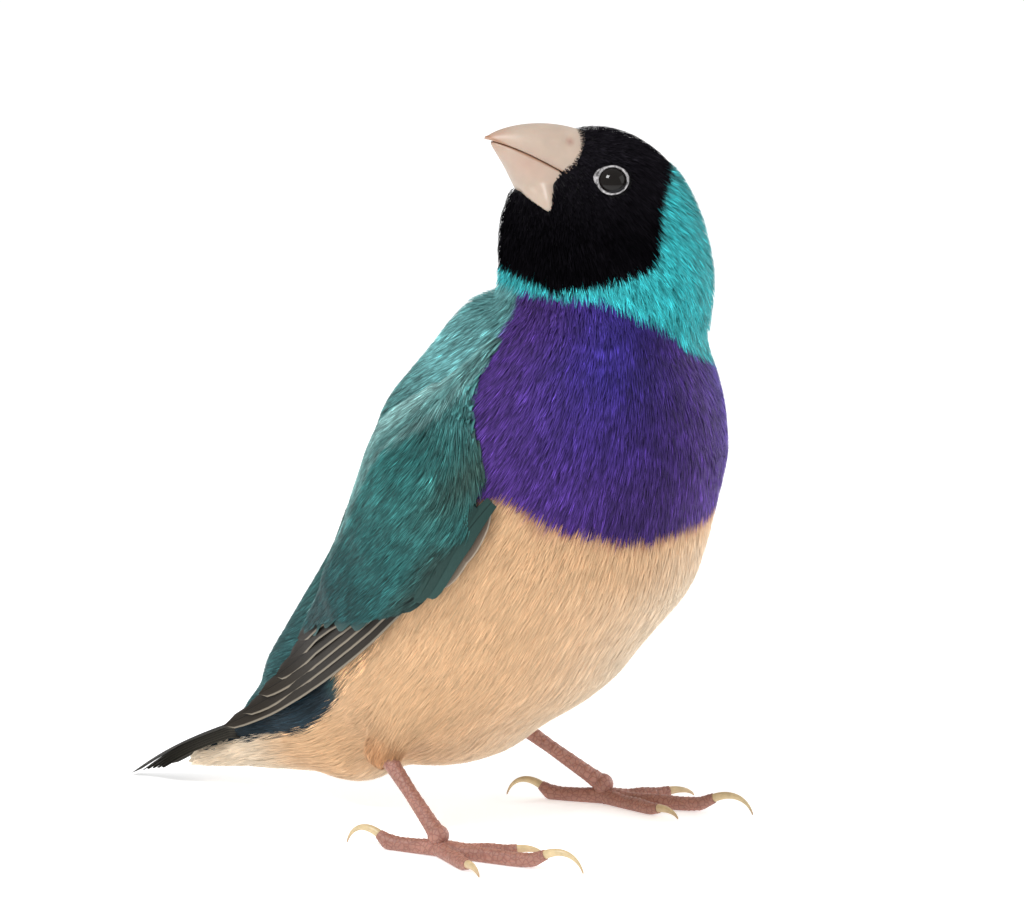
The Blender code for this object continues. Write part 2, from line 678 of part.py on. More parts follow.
# Toes: way in degrees from straight ahead towards the outside, joints as (millimetres from the
# ankle, height, radius) with the pads sunk a little so that they are cut flat, and the claw's length.
TOES = {
    "back": (179.0, ((0.0, 1.15, 1.15), (3.2, 0.85, 1.0), (6.0, 0.8, 0.95), (7.6, 0.9, 1.05),
                     (9.0, 1.9, 0.6)), 5.6),
    "outer": (36.0, ((0.0, 1.15, 1.15), (3.4, 0.75, 0.9), (5.6, 0.8, 0.95), (7.6, 0.7, 0.85),
                     (9.4, 1.1, 0.6)), 4.0),
    "middle": (-2.0, ((0.0, 1.15, 1.25), (4.0, 0.8, 0.95), (7.6, 0.85, 1.0), (11.0, 0.8, 0.95),
                      (13.6, 1.1, 0.9), (15.6, 2.1, 0.62)), 6.2),
    "inner": (-27.0, ((0.0, 1.15, 1.15), (3.6, 0.75, 0.9), (6.4, 0.8, 0.95), (8.6, 0.7, 0.85),
                      (10.2, 1.1, 0.6)), 4.0),
}


def toe_way(degrees, mirror):
    """A level direction from straight ahead, positive towards the outside of the right foot."""
    angle = math.radians(degrees + FOOT_TURN[mirror])
    return np.array([-math.sin(angle) * mirror, -math.cos(angle), 0.0])


def foot_at(mirror):
    """The middle of a foot on the floor; mirror is 1 for the right foot and -1 for the left."""
    return ANKLE[mirror] * (1, 1, 0)


def foot(mirror):
    """The four toes and the ankle joint as one piece, cut flat where it meets the floor."""
    meshes = []
    for degrees, joints, _ in TOES.values():
        way = toe_way(degrees, mirror)
        points = [foot_at(mirror) + way * d + np.array([0, 0, h]) for d, h, _ in joints]
        meshes.append(tube(points, [r for _, _, r in joints], 8, "toe"))
    ankle = ANKLE[mirror]
    rise = unit(HEEL[mirror] - ankle)
    meshes.append(tube([ankle - rise * 1.2, ankle, ankle + rise * 1.0], [1.1, 1.45, 1.25], 10, "ankle"))
    base = meshes.pop()
    joined = combine(base, meshes, "UNION")
    return combine(joined, [floor_block(0.0)], "DIFFERENCE")


def shank(mirror):
    """The scaly lower leg from the thigh's end to the ankle."""
    heel, ankle = HEEL[mirror], ANKLE[mirror]
    rise = unit(heel - ankle)
    top, low = heel, ankle + rise * (1.0 + GAP)
    points = [low, low + (top - low) * 0.15, low + (top - low) * 0.5, low + (top - low) * 0.85, top]
    return tube(points, [1.2, SHANK_RADIUS, 0.95, 1.05, 1.35], 10, "shank")


def thigh(mirror):
    """The feathered thigh that is fused to the trunk, its flat end just over the heel."""
    heel, ankle = HEEL[mirror], ANKLE[mirror]
    rise = unit(heel - ankle)
    low = heel + rise * GAP
    knee = low + rise * 2.0
    root = THIGH_ROOT * (mirror, 1, 1)
    points = [low, knee, knee + (root - knee) * 0.4, knee + (root - knee) * 0.75, root]
    return tube(points, [1.6, 2.2, 3.6, 4.6, 5.0], 12, "thigh")


def claw(mirror, name):
    """A curved claw from the end of its toe down to the floor."""
    degrees, joints, length = TOES[name]
    way = toe_way(degrees, mirror)
    last, height, radius = joints[-1]
    before, low, _ = joints[-2]
    start = foot_at(mirror) + way * last + np.array([0, 0, height])
    rise = math.atan2(height - low, last - before)
    points, radii = [], []
    drop = height - 0.25
    for s in np.linspace(0, 1, 6):
        reach_out = GAP + length * 0.86 * math.sin(s * 1.35) / math.sin(1.35)
        fall = math.tan(rise) * reach_out * (1 - s) - drop * s ** 1.7
        points.append(start + way * reach_out + np.array([0, 0, fall]))
        radii.append(radius * 0.86 * (1 - 0.78 * s))
    return tube(points, radii, 6, "claw")


for old in list(bpy.data.objects):
    bpy.data.objects.remove(old)
parts = bpy.data.collections.new("gouldian_finch")
bpy.context.scene.collection.children.link(parts)
cutters = bpy.data.collections.new("cutters")
bpy.context.scene.collection.children.link(cutters)

cream = finish("cream_feathers", (0.78, 0.60, 0.42), 0.9)
turquoise = finish("turquoise_feathers", (0.03, 0.42, 0.45), 0.85)
black = finish("black_feathers", (0.012, 0.012, 0.014), 0.85)
ivory = finish("ivory_bill", (0.76, 0.62, 0.55), 0.4)
dark_eye = finish("dark_eye", (0.01, 0.009, 0.01), 0.05)
teal = finish("teal_feathers", (0.02, 0.20, 0.22), 0.7)
slate = finish("slate_feathers", (0.03, 0.05, 0.07), 0.6)
pink = finish("pink_scales", (0.55, 0.28, 0.25), 0.5)
horn = finish("pale_horn", (0.70, 0.62, 0.38), 0.35)

new_object("torso", combine(torso(), [thigh(1), thigh(-1)], "UNION"), cream)
new_object("neck", neck(), turquoise)
skull = combine(head_surface(), [lid(1), lid(-1)], "UNION")
cuts = [ball(eye_frame(sign)[0], EYE_RADIUS + GAP, 16, 10) for sign in (1, -1)]
cuts += [bill_seat(), jaw(1, GAP), jaw(-1, GAP), floor_block(NECK_TOP + GAP)]
new_object("head", combine(skull, cuts, "DIFFERENCE"), black)
for side_name, sign in (("left", 1), ("right", -1)):
    new_object("eye_" + side_name, ball(eye_frame(sign)[0], EYE_RADIUS), dark_eye)
new_object("bill_upper", combine(bill_half(True), [nostril(1), nostril(-1)], "DIFFERENCE"), ivory)
new_object("bill_lower", combine(bill_half(False), [jaw(1), jaw(-1)], "UNION"), ivory)
new_object("wing_right", wing(False), teal)
new_object("wing_left", wing(True), teal)
new_object("tail", tail(), slate)
for side_name, mirror in (("right", 1), ("left", -1)):
    new_object("leg_" + side_name, shank(mirror), pink)
    new_object("foot_" + side_name, foot(mirror), pink)
    for toe in TOES:
        new_object("claw_" + side_name + "_" + toe, claw(mirror, toe), horn)
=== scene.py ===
# %% [markdown]
# # A gouldian finch, feather by feather
# The solids of this bird are a imported model in its final pose and size. This script dresses them:
# one skin under the plumage, some two hundred thousand fine feathers that lie along the body, two
# folded wings and a tail of single quills, a horn bill, wet eyes and scaly feet. The first step loads
# the solids and moves their placement into their points.

# %% Load the solids
import math

import bmesh
import bpy
import numpy as np
from mathutils import Matrix


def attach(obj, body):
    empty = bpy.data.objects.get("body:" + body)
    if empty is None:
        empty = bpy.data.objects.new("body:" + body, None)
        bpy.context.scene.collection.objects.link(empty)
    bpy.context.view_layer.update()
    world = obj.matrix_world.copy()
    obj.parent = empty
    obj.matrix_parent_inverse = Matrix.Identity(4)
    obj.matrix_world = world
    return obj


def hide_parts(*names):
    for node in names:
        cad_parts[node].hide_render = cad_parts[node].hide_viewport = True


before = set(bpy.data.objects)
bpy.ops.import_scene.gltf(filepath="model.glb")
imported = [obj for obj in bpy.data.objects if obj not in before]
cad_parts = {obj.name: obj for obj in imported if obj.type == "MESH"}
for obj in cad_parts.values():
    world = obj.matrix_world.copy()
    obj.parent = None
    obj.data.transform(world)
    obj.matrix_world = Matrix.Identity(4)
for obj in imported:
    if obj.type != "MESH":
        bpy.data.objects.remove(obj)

MM = 0.001
ORIGIN = np.array([2.8, 16.8, 0.0])      # middle of the box on the floor, in millimetres from between the feet
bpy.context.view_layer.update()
rng = np.random.default_rng(7)

# %% [markdown]
# ## The body as one rounded shape
# A bird's body looks smooth because its feathers hide the joints. A chain of balls of growing and
# shrinking size, joined by a rounded union, gives such a form. Its signed distance tells how far any
# point is from the surface, so the same function can lay down a skin, a feather or a whole wing.

# %% Distance to the body
TORSO = ((-13.0, 69.4, 12.7), (-10.2, 55.6, 18.1), (-3.5, 46.0, 22.4), (3.4, 34.3, 19.7),
         (12.1, 23.7, 15.4), (26.6, 12.7, 8.4), (39.3, 9.8, 5.2))       # y, z, radius
BACK = ((2.1, 63.0, 8.6), (17.5, 38.7, 7.7), (33.5, 16.7, 6.9))
HEAD = np.array([1.4, -12.7, 84.1])
SKULL, SKULL_RADII = np.array([0.9, 0.0, 0.0]), np.array([10.6, 9.6, 9.3])   # on the head's own axes
HEAD_TURN, HEAD_PITCH = math.radians(137.0), math.radians(25.0)
BILL = np.array([-math.sin(HEAD_TURN) * math.cos(HEAD_PITCH), -math.cos(HEAD_TURN) * math.cos(HEAD_PITCH),
                 math.sin(HEAD_PITCH)])
SIDE = np.array([math.cos(HEAD_TURN), -math.sin(HEAD_TURN), 0.0])
CROWN = np.cross(BILL, SIDE)
HEEL = {1: np.array([-12.8, 11.6, 10.4]), -1: np.array([13.2, 10.9, 11.6])}
ANKLE = {1: np.array([-16.6, 1.0, 2.6]), -1: np.array([19.4, -0.4, 2.6])}


def unit(vector):
    """The vector divided by its length."""
    return vector / np.linalg.norm(vector, axis=-1, keepdims=True)


def smooth_min(a, b, k):
    """The smaller of two distances, rounded by a parabola of width k where they are alike."""
    h = np.clip(0.5 + 0.5 * (b - a) / k, 0, 1)
    return b + (a - b) * h - k * h * (1 - h)


def cone(p, a, b, radius_a, radius_b):
    """Distance to a ball that slides from a to b while its radius changes evenly."""
    a, b = np.asarray(a, float), np.asarray(b, float)
    along = np.clip((p - a) @ (b - a) / ((b - a) @ (b - a)), 0, 1)
    away = np.linalg.norm(p - a - along[..., None] * (b - a), axis=-1)
    return away - radius_a - along * (radius_b - radius_a)


def head_distance(p):
    """Skull and a ball for the throat, both drawn in towards the bill, joined with a ball for the nape."""
    local = (p - HEAD) @ np.array([BILL, SIDE, CROWN]).T
    local[..., 1] *= 1 + 0.65 * np.clip(local[..., 0] / 8, 0, 1.4) ** 1.5
    near = np.linalg.norm((local - SKULL) / SKULL_RADII, axis=-1)
    d = near * (near - 1) / np.maximum(np.linalg.norm((local - SKULL) / SKULL_RADII ** 2, axis=-1), 1e-9)
    d = smooth_min(d, np.linalg.norm(local - (3.0, 0.0, -6.5), axis=-1) - 8.5, 5.0)
    return smooth_min(d, np.linalg.norm(p - (1.1, -15.0, 75.8), axis=-1) - 11.5, 6.0)


def body_distance(p):
    """Rounded union of the balls of the trunk, a little narrower than deep, and the head."""
    q = p * (1.05, 1, 1)
    d = np.full(p.shape[:-1], 1e3)
    for chain in (TORSO, BACK):
        for (ya, za, ra), (yb, zb, rb) in zip(chain[:-1], chain[1:]):
            d = smooth_min(d, cone(q, (0, ya, za), (0, yb, zb), ra, rb), 4.0)
    return smooth_min(d, head_distance(p), 5.0)


def lay_distance(p):
    """The body with a cone for the root of the tail, on which wings and tail coverts are laid."""
    return smooth_min(body_distance(p), cone(p, (0, 36.0, 9.6), (0, 56.0, 5.0), 5.2, 2.8), 3.0)


def plumed_distance(p):
    """Everything that small feathers grow on: body, root of the tail and the two thighs."""
    d = smooth_min(body_distance(p), cone(p, (0, 36.0, 8.6), (-2.8, 56.0, 2.6), 4.6, 0.9), 3.0)
    for side in (1, -1):
        rise = unit(HEEL[side] - ANKLE[side])
        knee = HEEL[side] + rise * 2.2
        root = np.array([-10.0 * side, 7.0, 20.0])
        thigh = smooth_min(cone(p, knee, root, 2.3, 5.0), cone(p, HEEL[side] + rise * 0.4, knee, 1.5, 2.2), 1.5)
        d = smooth_min(d, thigh, 2.5)
    return d


def slope(p, field, step=0.03):
    """Gradient of a distance by central differences along the three axes."""
    return np.stack([field(p + step * e) - field(p - step * e) for e in np.eye(3)], -1) / (2 * step)


def settle(p, level, field=plumed_distance, turns=2):
    """Points moved along the gradient until their distance is the level, by Newton's method."""
    for _ in range(turns):
        g = slope(p, field)
        p = p - g * ((field(p) - level) / np.maximum((g * g).sum(-1), 0.25))[..., None]
    return p


def reach(centre, ray, level, field, far=45.0):
    """Where rays from inside leave the field's level: the interval is halved again and again."""
    low, high = np.zeros(ray.shape[:-1]), np.full(ray.shape[:-1], far)
    for _ in range(26):
        middle = 0.5 * (low + high)
        inside = field(centre + middle[..., None] * ray) < level
        low, high = np.where(inside, middle, low), np.where(inside, high, middle)
    return centre + low[..., None] * ray


def on_head(forward, sideways, upward):
    """A place given on the head's own axes."""
    return HEAD + forward * BILL + sideways * SIDE + upward * CROWN


print("bill points to", BILL.round(2))

# %% [markdown]
# ## A map of the body
# To say where the purple breast ends, or where a quill is rooted, each place on the body gets two
# numbers: the millimetres along a line from the neck to the tail, and the angle round that line from
# the belly. Latitude and longitude on a globe work the same way.

# %% Millimetres along and degrees round the body
AXIS = np.array([(0, y, z) for y, z, _ in TORSO] + [(0, 52.0, 4.6), (0, 66.0, 1.2)])
ARC = np.concatenate([[0], np.cumsum(np.linalg.norm(np.diff(AXIS, axis=0), axis=1))])


def axis_at(where):
    """The point of the line that lies this many millimetres along it."""
    where = np.clip(where, 0, ARC[-1])
    return np.stack([np.interp(where, ARC, AXIS[:, k]) for k in range(3)], -1)


def axis_frame(along):
    """Smoothed middle, direction and belly side of the line: averages over a few millimetres each way."""
    centre = 0.5 * axis_at(along) + 0.25 * (axis_at(along + 5) + axis_at(along - 5))
    heading = unit(axis_at(along + 9) - axis_at(along - 9))
    return centre, heading, np.cross(heading, np.array([1.0, 0, 0]))


def on_body(along, angle, level, field=lay_distance):
    """The place at the level on the ray that leaves the line at this angle."""
    along, angle = np.broadcast_arrays(np.asarray(along, float), np.radians(angle))
    centre, _, ventral = axis_frame(along)
    ray = np.cos(angle)[..., None] * ventral - np.sin(angle)[..., None] * np.array([1.0, 0, 0])
    return reach(centre, ray, level, field)


MARKS = np.linspace(0, ARC[-1], 180)
MARK_PLACES = axis_frame(MARKS)[0]


def body_map(p):
    """Nearest mark on the line, and the angle of the point round it: minus on the bird's left."""
    flat = p.reshape(-1, 3)
    near = np.concatenate([((part[:, None, 1:] - MARK_PLACES[None, :, 1:]) ** 2).sum(-1).argmin(1)
                           for part in np.array_split(flat, max(1, len(flat) // 4000))])
    along = MARKS[near]
    centre, heading, ventral = axis_frame(along)
    away = flat - centre
    angle = np.degrees(np.arctan2(-away[:, 0], (away * ventral).sum(-1)))
    return along.reshape(p.shape[:-1]), angle.reshape(p.shape[:-1])


print("the line is", round(ARC[-1], 1), "mm long")

# %% [markdown]
# ## Markings
# The black mask, turquoise collar, purple breast, cream belly and green back of the real bird come
# from pigments laid down feather by feather. The pattern here is a function of the place on the body,
# and each feather takes one colour from its root, so the borders come out ragged as real ones are.
# Painted light and shade are laid into the same colours: a sheen on the crown, lighter and darker
# sides of the breast, a whiter side of the belly and shade near the legs.

# %% Colours of the plumage
# The last two colours are painted shade: the cream made darker and warmer near the legs.
TINTS = {
    "black": (0.0036, 0.0032, 0.0042), "turquoise": (0.048, 0.57, 0.61), "purple": (0.070, 0.028, 0.195),
    "blue": (0.042, 0.026, 0.230), "rust": (0.50, 0.24, 0.15), "cream": (0.79, 0.52, 0.295),
    "white": (0.84, 0.72, 0.56), "green": (0.034, 0.140, 0.132), "mantle": (0.19, 0.50, 0.51),
    "rump": (0.030, 0.110, 0.115), "indigo": (0.012, 0.030, 0.044), "thigh": (0.50, 0.30, 0.16),
    "heel": (0.62, 0.33, 0.16),
}


def head_map(p):
    """Place on the head: forward, to its left and up from its middle, and the turn from the bill's way."""
    local = (p - HEAD) @ np.array([BILL, SIDE, CROWN]).T
    away = p[..., :2] - (0, -13.2)
    facing = -np.array([math.sin(HEAD_TURN), math.cos(HEAD_TURN)])
    turn = np.degrees(np.arccos(np.clip((unit(away) * facing).sum(-1), -1, 1)))
    return local, turn


def mix(a, b, share):
    """Colours blended by a share that is 0 for the first and 1 for the second."""
    return a + (b - a) * np.clip(share, 0, 1)[..., None]


BREAST_END = ((-95, -60, -21, 7, 19, 31, 46, 58, 76, 84, 110),                # angle -> along
              (18, 16.5, 14.8, 15.3, 16.8, 17.3, 17.8, 18.3, 17.8, 20, 20))
# Painted light and shade on the breast: how much lighter or darker its colour is made at each angle round the
# body.
BREAST_PAINTED_LIGHT = ((-60, -30, 8, 30, 55, 80), (1.7, 1.55, 1.0, 0.78, 1.15, 1.25))  # angle -> how light
BACK_RIM = ((0, 7, 10.5, 15, 20, 31, 36, 42, 50, 57, 59.5, 69, 77, 82, 90),     # along -> angle
            (120, 116, 108, 96, 84, 81, 90, 97, 102, 102, 94, 85, 82, 79, 82))
COLLAR_LOW = ((0, 30, 79, 112, 143, 180), (75.0, 74.4, 74.3, 71.5, 66.8, 64.2))  # turn -> height
MASK_BACK = ((-14, -12.1, -11.6, -7.7, -3.6, 3.8, 7, 10),                       # up the head -> forward
             (12, 9.5, 3.2, -1.7, -5.9, -3.9, -4.2, -4.4))


def plumage(p):
    """Colour at places on the body: each border is a curve of the angle, and regions are laid in turn."""
    along, angle = body_map(p)
    round_body = np.abs(angle)
    local, turn = head_map(p)
    tint = {name: np.array(value) for name, value in TINTS.items()}
    edge = np.interp(angle, *BREAST_END)
    # The belly is made whiter round an angle a little to the bird's left of its middle: painted light. Towards
    # the vent it is whiter in its own colour.
    white = np.exp(-((angle + 14) / 36.0) ** 2) * np.clip((along - edge) / 6, 0, 1)
    white = white + np.clip((along - 74) / 8, 0, 1)
    colour = mix(np.broadcast_to(tint["cream"], p.shape), tint["white"], 0.85 * white)
    blueness = np.exp(-((round_body - 50) / 34.0) ** 2) * np.clip(1 - (along - 2) / 16, 0, 1)
    breast = mix(np.broadcast_to(tint["purple"], p.shape), tint["blue"], blueness)
    # The breast is made lighter or darker by its angle round the body: painted light and shade.
    breast = breast * np.interp(angle, *BREAST_PAINTED_LIGHT)[..., None]
    colour = mix(colour, tint["rust"], (1 - np.abs(along - edge - 0.2) / 0.7) * (round_body < 92))
    colour = mix(colour, breast, (edge - along) / 0.25)
    # Near the legs the cream is made darker and warmer: painted shade under the belly.
    for side in (1, -1):
        near = np.linalg.norm(p - HEEL[side], axis=-1)
        colour = mix(colour, tint["thigh"], 0.6 * np.clip(1 - (near - 3) / 9, 0, 1))
        colour = mix(colour, tint["heel"], 1 - (near - 2.5) / 4)
    back = mix(np.broadcast_to(tint["green"], p.shape), tint["mantle"], 1 - np.abs(along - 8) / 22)
    back = mix(back, tint["rump"], (along - 52) / 14)
    rim = np.interp(along, *BACK_RIM)
    colour = mix(colour, back, (round_body - rim) / 1.5)
    colour = mix(colour, tint["indigo"], (along - 56) / 6 * ((round_body > rim) & (round_body < 128)))
    collar = np.interp(turn, *COLLAR_LOW)
    nape = mix(np.broadcast_to(tint["turquoise"], p.shape), tint["green"], (turn - 125) / 60 * 0.5)
    colour = mix(colour, nape, (p[..., 2] - collar) / 0.3)
    mask = np.interp(local[..., 2], *MASK_BACK)
    # The black is made up to four times lighter towards the crown: a painted sheen of the light from above.
    black = tint["black"] * (1 + 3 * np.clip((p[..., 2:] - 82) / 12, 0, 1))
    colour = mix(colour, black, np.where(p[..., 2] > 72, (local[..., 0] - mask) / 0.3, 0))
    return colour


print("colours:", ", ".join(TINTS))

# %% [markdown]
# ## The lie of the feathers
# Feathers point away from the bill: back over the head, down the neck and along the trunk to the
# tail. Combing them along a field of directions, which is flattened onto the surface, gives every
# feather its way without placing any of them by hand.

# %% Directions over the surface
def lie(p, normal):
    """Trunk's direction below, away from the bill above, flattened onto the surface and made unit."""
    along, _ = body_map(p)
    trunk = axis_frame(along)[1] + 0.10 * (p - axis_frame(along)[0]) / 18
    away = p - (HEAD + 9.5 * BILL)
    head = unit(away) * 0.75 - np.array([0, 0, 0.75]) - BILL * 0.35
    share = np.clip((p[..., 2] - 66) / 12, 0, 1)[..., None]
    way = trunk * (1 - share) + head * share
    for side in (1, -1):
        near = cone(p, HEEL[side], np.array([-10.0 * side, 7.0, 20.0]), 1.0, 3.0)
        pull = np.clip(1 - near / 3.5, 0, 1)[..., None]
        way = way * (1 - pull) + pull * unit(HEEL[side] + (0, 1.5, -1.5) - p) * 1.2
    way = way - (way * normal).sum(-1, keepdims=True) * normal
    return unit(way + 1e-9)


# %% [markdown]
# ## From arrays to meshes
# Every piece below is a grid of points made by numpy. One helper turns many equal grids into one
# mesh, with a colour for each, a map across and along each, and the flat patch that the export paints.

# %% Meshes from grids
PATCH_SIZE = 0.003           # side of a feather's patch on the flat map, as a share of the map
VANE_KINDS = 40              # whole numbers added to the vane's map, one kind of streaks for each


def place(points):
    """Millimetres from between the feet made metres in the model's own frame."""
    return (points - ORIGIN) * MM


def in_scene(name, data):
    """An object that shows this mesh, lamp or camera, linked to the scene."""
    obj = bpy.data.objects.new(name, data)
    bpy.context.scene.collection.objects.link(obj)
    return obj


def grid_faces(rows, columns, closed=False):
    """Corner numbers of each square of a grid: a point, its neighbour, and the two in the next row."""
    i, j = np.meshgrid(np.arange(rows - 1), np.arange(columns if closed else columns - 1), indexing="ij")
    k = (j + 1) % columns
    row, after = i * columns, (i + 1) * columns
    return np.stack([row + j, row + k, after + k, after + j], -1).reshape(-1, 4)


def add_mesh(name, points, faces, material):
    """An object at the origin from points in millimetres and faces of equal corner count."""
    mesh = bpy.data.meshes.new(name)
    mesh.vertices.add(len(points))
    mesh.vertices.foreach_set("co", place(points).astype(np.float32).ravel())
    mesh.loops.add(faces.size)
    mesh.loops.foreach_set("vertex_index", faces.astype(np.int32).ravel())
    mesh.polygons.add(len(faces))
    mesh.polygons.foreach_set("loop_start", np.arange(0, faces.size, faces.shape[1], dtype=np.int32))
    mesh.update(calc_edges=True)
    mesh.validate()
    mesh.shade_smooth()
    mesh.materials.append(material)
    return in_scene(name, mesh)


def add_vanes(name, grids, tints, patches, material, turned=False):
    """Many equal grids (count, rows, columns, 3) as one mesh, each with its tint and its flat patch."""
    count, rows, columns = grids.shape[:3]
    size = rows * columns
    faces = (grid_faces(rows, columns)[None] + (np.arange(count) * size)[:, None, None]).reshape(-1, 4)
    obj = add_mesh(name, grids.reshape(-1, 3), faces[:, ::-1] if turned else faces, material)
    mesh = obj.data
    corners = np.empty(len(mesh.loops), np.int32)
    mesh.loops.foreach_get("vertex_index", corners)
    across, along = np.meshgrid(np.linspace(0, 1, columns), np.linspace(0, 1, rows))
    vane = np.stack([np.tile(across.ravel(), count), np.tile(along.ravel(), count)], -1)
    draw = rng.random(count)
    vane[:, 0] += np.repeat(np.floor(draw * VANE_KINDS), size)
    flat = np.repeat(patches, size, axis=0) + PATCH_SIZE * (vane % 1.0)
    for title, values in (("Vane", vane), ("OFBake", flat)):
        mesh.uv_layers.new(name=title).data.foreach_set("uv", values[corners].astype(np.float32).ravel())
    dye = mesh.color_attributes.new(name="Dye", type="FLOAT_COLOR", domain="POINT")
    rgba = np.concatenate([np.repeat(tints, size, axis=0), np.ones((count * size, 1))], 1)
    dye.data.foreach_set("color", rgba.astype(np.float32).ravel())
    return obj


def unwrap(p):
    """The skin's own flat map: the trunk by its angle and length, the head by its turn and height."""
    along, angle = body_map(p)
    local, _ = head_map(p)
    ahead = np.degrees(np.arctan2(local[..., 1], local[..., 2])) / 360 + 0.5
    back = np.arccos(np.clip(unit(local)[..., 0], -1, 1)) / math.pi
    trunk = np.stack([0.02 + 0.96 * (angle / 360 + 0.5), 0.02 + 0.62 * along / ARC[-1]], -1)
    head = np.stack([0.02 + 0.96 * ahead, 0.68 + 0.30 * back], -1)
    return np.where((p[..., 2] > 76)[..., None], head, trunk)


print("a vane of 5 by 3 points has", len(grid_faces(5, 3)), "squares")

# %% [markdown]
# ## Writing materials as sums
# A feather's colour is a small calculation: its dye, times painted shade that is darkest at the root,
# times fine barbs. A thin wrapper round a shader socket lets such a calculation be written as Python
# expressions, and each expression adds the Math nodes it needs.

# %% A socket that takes part in sums
class Shade:
    """A shader socket, or a number, that adds a Math node for every sum it takes part in."""

    def __init__(self, tree, socket):
        self.tree, self.socket = tree, socket

    def node(self, kind, settings=None, output=0, **values):
        """Another node of the tree: its settings first, then the values or links of its sockets."""
        made = self.tree.nodes.new("ShaderNode" + kind)
        for key, value in (settings or {}).items():
            setattr(made, key, value)
        for key, value in values.items():
            numbered = key[0] == "i" and key[1:].isdigit()
            socket = made.inputs[int(key[1:]) if numbered else key.replace("_", " ")]
            if isinstance(value, Shade):
                self.tree.links.new(value.socket, socket)
            else:
                socket.default_value = value
        return Shade(self.tree, made.outputs[output])

    def sum(self, operation, *values):
        """A Math node of this socket and the values."""
        others = {f"i{k + 1}": value for k, value in enumerate(values)}
        return self.node("Math", {"operation": operation}, i0=self, **others)

    def __add__(self, other): return self.sum("ADD", other)
    def __mul__(self, other): return self.sum("MULTIPLY", other)
    def __sub__(self, other): return self.sum("SUBTRACT", other)
    def __truediv__(self, other): return self.sum("DIVIDE", other)
    def __pow__(self, other): return self.sum("POWER", other)
    def __neg__(self): return self * -1.0
    def __rsub__(self, other): return -self + other
    __radd__, __rmul__ = __add__, __mul__

    def clamp(self):
        """The value held between 0 and 1."""
        return self.node("Clamp", None, Value=self)

    def ramp(self, low, high):
        """0 below low, 1 above high and a smooth rise between."""
        smooth = {"interpolation_type": "SMOOTHSTEP"}
        return self.node("MapRange", smooth, Value=self, From_Min=low, From_Max=high)

    def blend(self, first, second):
        """Colours mixed by this share."""
        return self.node("Mix", {"data_type": "RGBA"}, 2, i0=self, i6=first, i7=second)

    def tinted(self, colour):
        """The colour made lighter or darker by this value."""
        grey = self.node("CombineXYZ", None, X=self, Y=self, Z=self)
        return self.node("VectorMath", {"operation": "MULTIPLY"}, i0=colour, i1=grey)


def new_material(name, **constants):
    """A Principled material with these constants, and a first socket to build on: Object coordinates."""
    made = bpy.data.materials.new(name)
    made.use_nodes = True
    shader = made.node_tree.nodes["Principled BSDF"]
    for key, value in constants.items():
        shader.inputs[key.replace("_", " ")].default_value = value
    start = Shade(made.node_tree, None)
    return made, shader, start.node("TexCoord", None, 3)


def feed(shade, shader, name):
    """Links a value to one of the shader's sockets."""
    shade.tree.links.new(shade.socket, shader.inputs[name])


print("sockets can now be added and multiplied")

# %% [markdown]
# ## Feather materials
# Under a lens a feather is a shaft with rows of barbs that slant to its tip. The small ones on the
# body look like combed silk, so their barbs are long streaks. Quills show the shaft, slanting barbs and
# often a pale rim. Both take their dye from the mesh and their barbs from the vane's own map.

# %% Small feathers
FLAT = {"noise_dimensions": "2D"}        # noise on a vane's own map, which has two directions


def feather_material(name, vary=0.3, root_shade=0.6, roughness=0.6, sheen=0.1, specular=0.2, cloudy=0.2):
    """Dye times streaks along the vane, times a rise from the shaded root, times a draw for each feather."""
    made, shader, start = new_material(name, Roughness=roughness, Sheen_Weight=sheen, Sheen_Roughness=0.45,
                                       Specular_IOR_Level=specular)
    vane = start.node("UVMap", {"uv_map": "Vane"})
    x = vane.node("SeparateXYZ", None, 0, Vector=vane)
    y = vane.node("SeparateXYZ", None, 1, Vector=vane)
    place_on = vane.node("CombineXYZ", None, X=x * 22.0, Y=y * 1.6)
    barbs = vane.node("TexNoise", FLAT, 0, Vector=place_on, Scale=1.0, Detail=3.0, Roughness=0.6)
    patch = vane.node("TexNoise", None, 0, Vector=start, Scale=330.0, Detail=2.0)
    single = vane.node("TexWhiteNoise", {"noise_dimensions": "1D"}, 0, W=x.sum("FLOOR"))
    light = (0.8 + barbs * 0.4) * (1 - cloudy * 0.5 + patch * cloudy) * (1 - vary * 0.5 + single * vary)
    light = light * (root_shade + (1 - root_shade) * y.ramp(0.0, 0.75))
    dye = vane.node("Attribute", {"attribute_name": "Dye"})
    feed(light.tinted(dye), shader, "Base Color")
    feed(vane.node("Bump", None, Strength=0.3, Distance=0.00005, Height=barbs), shader, "Normal")
    return made


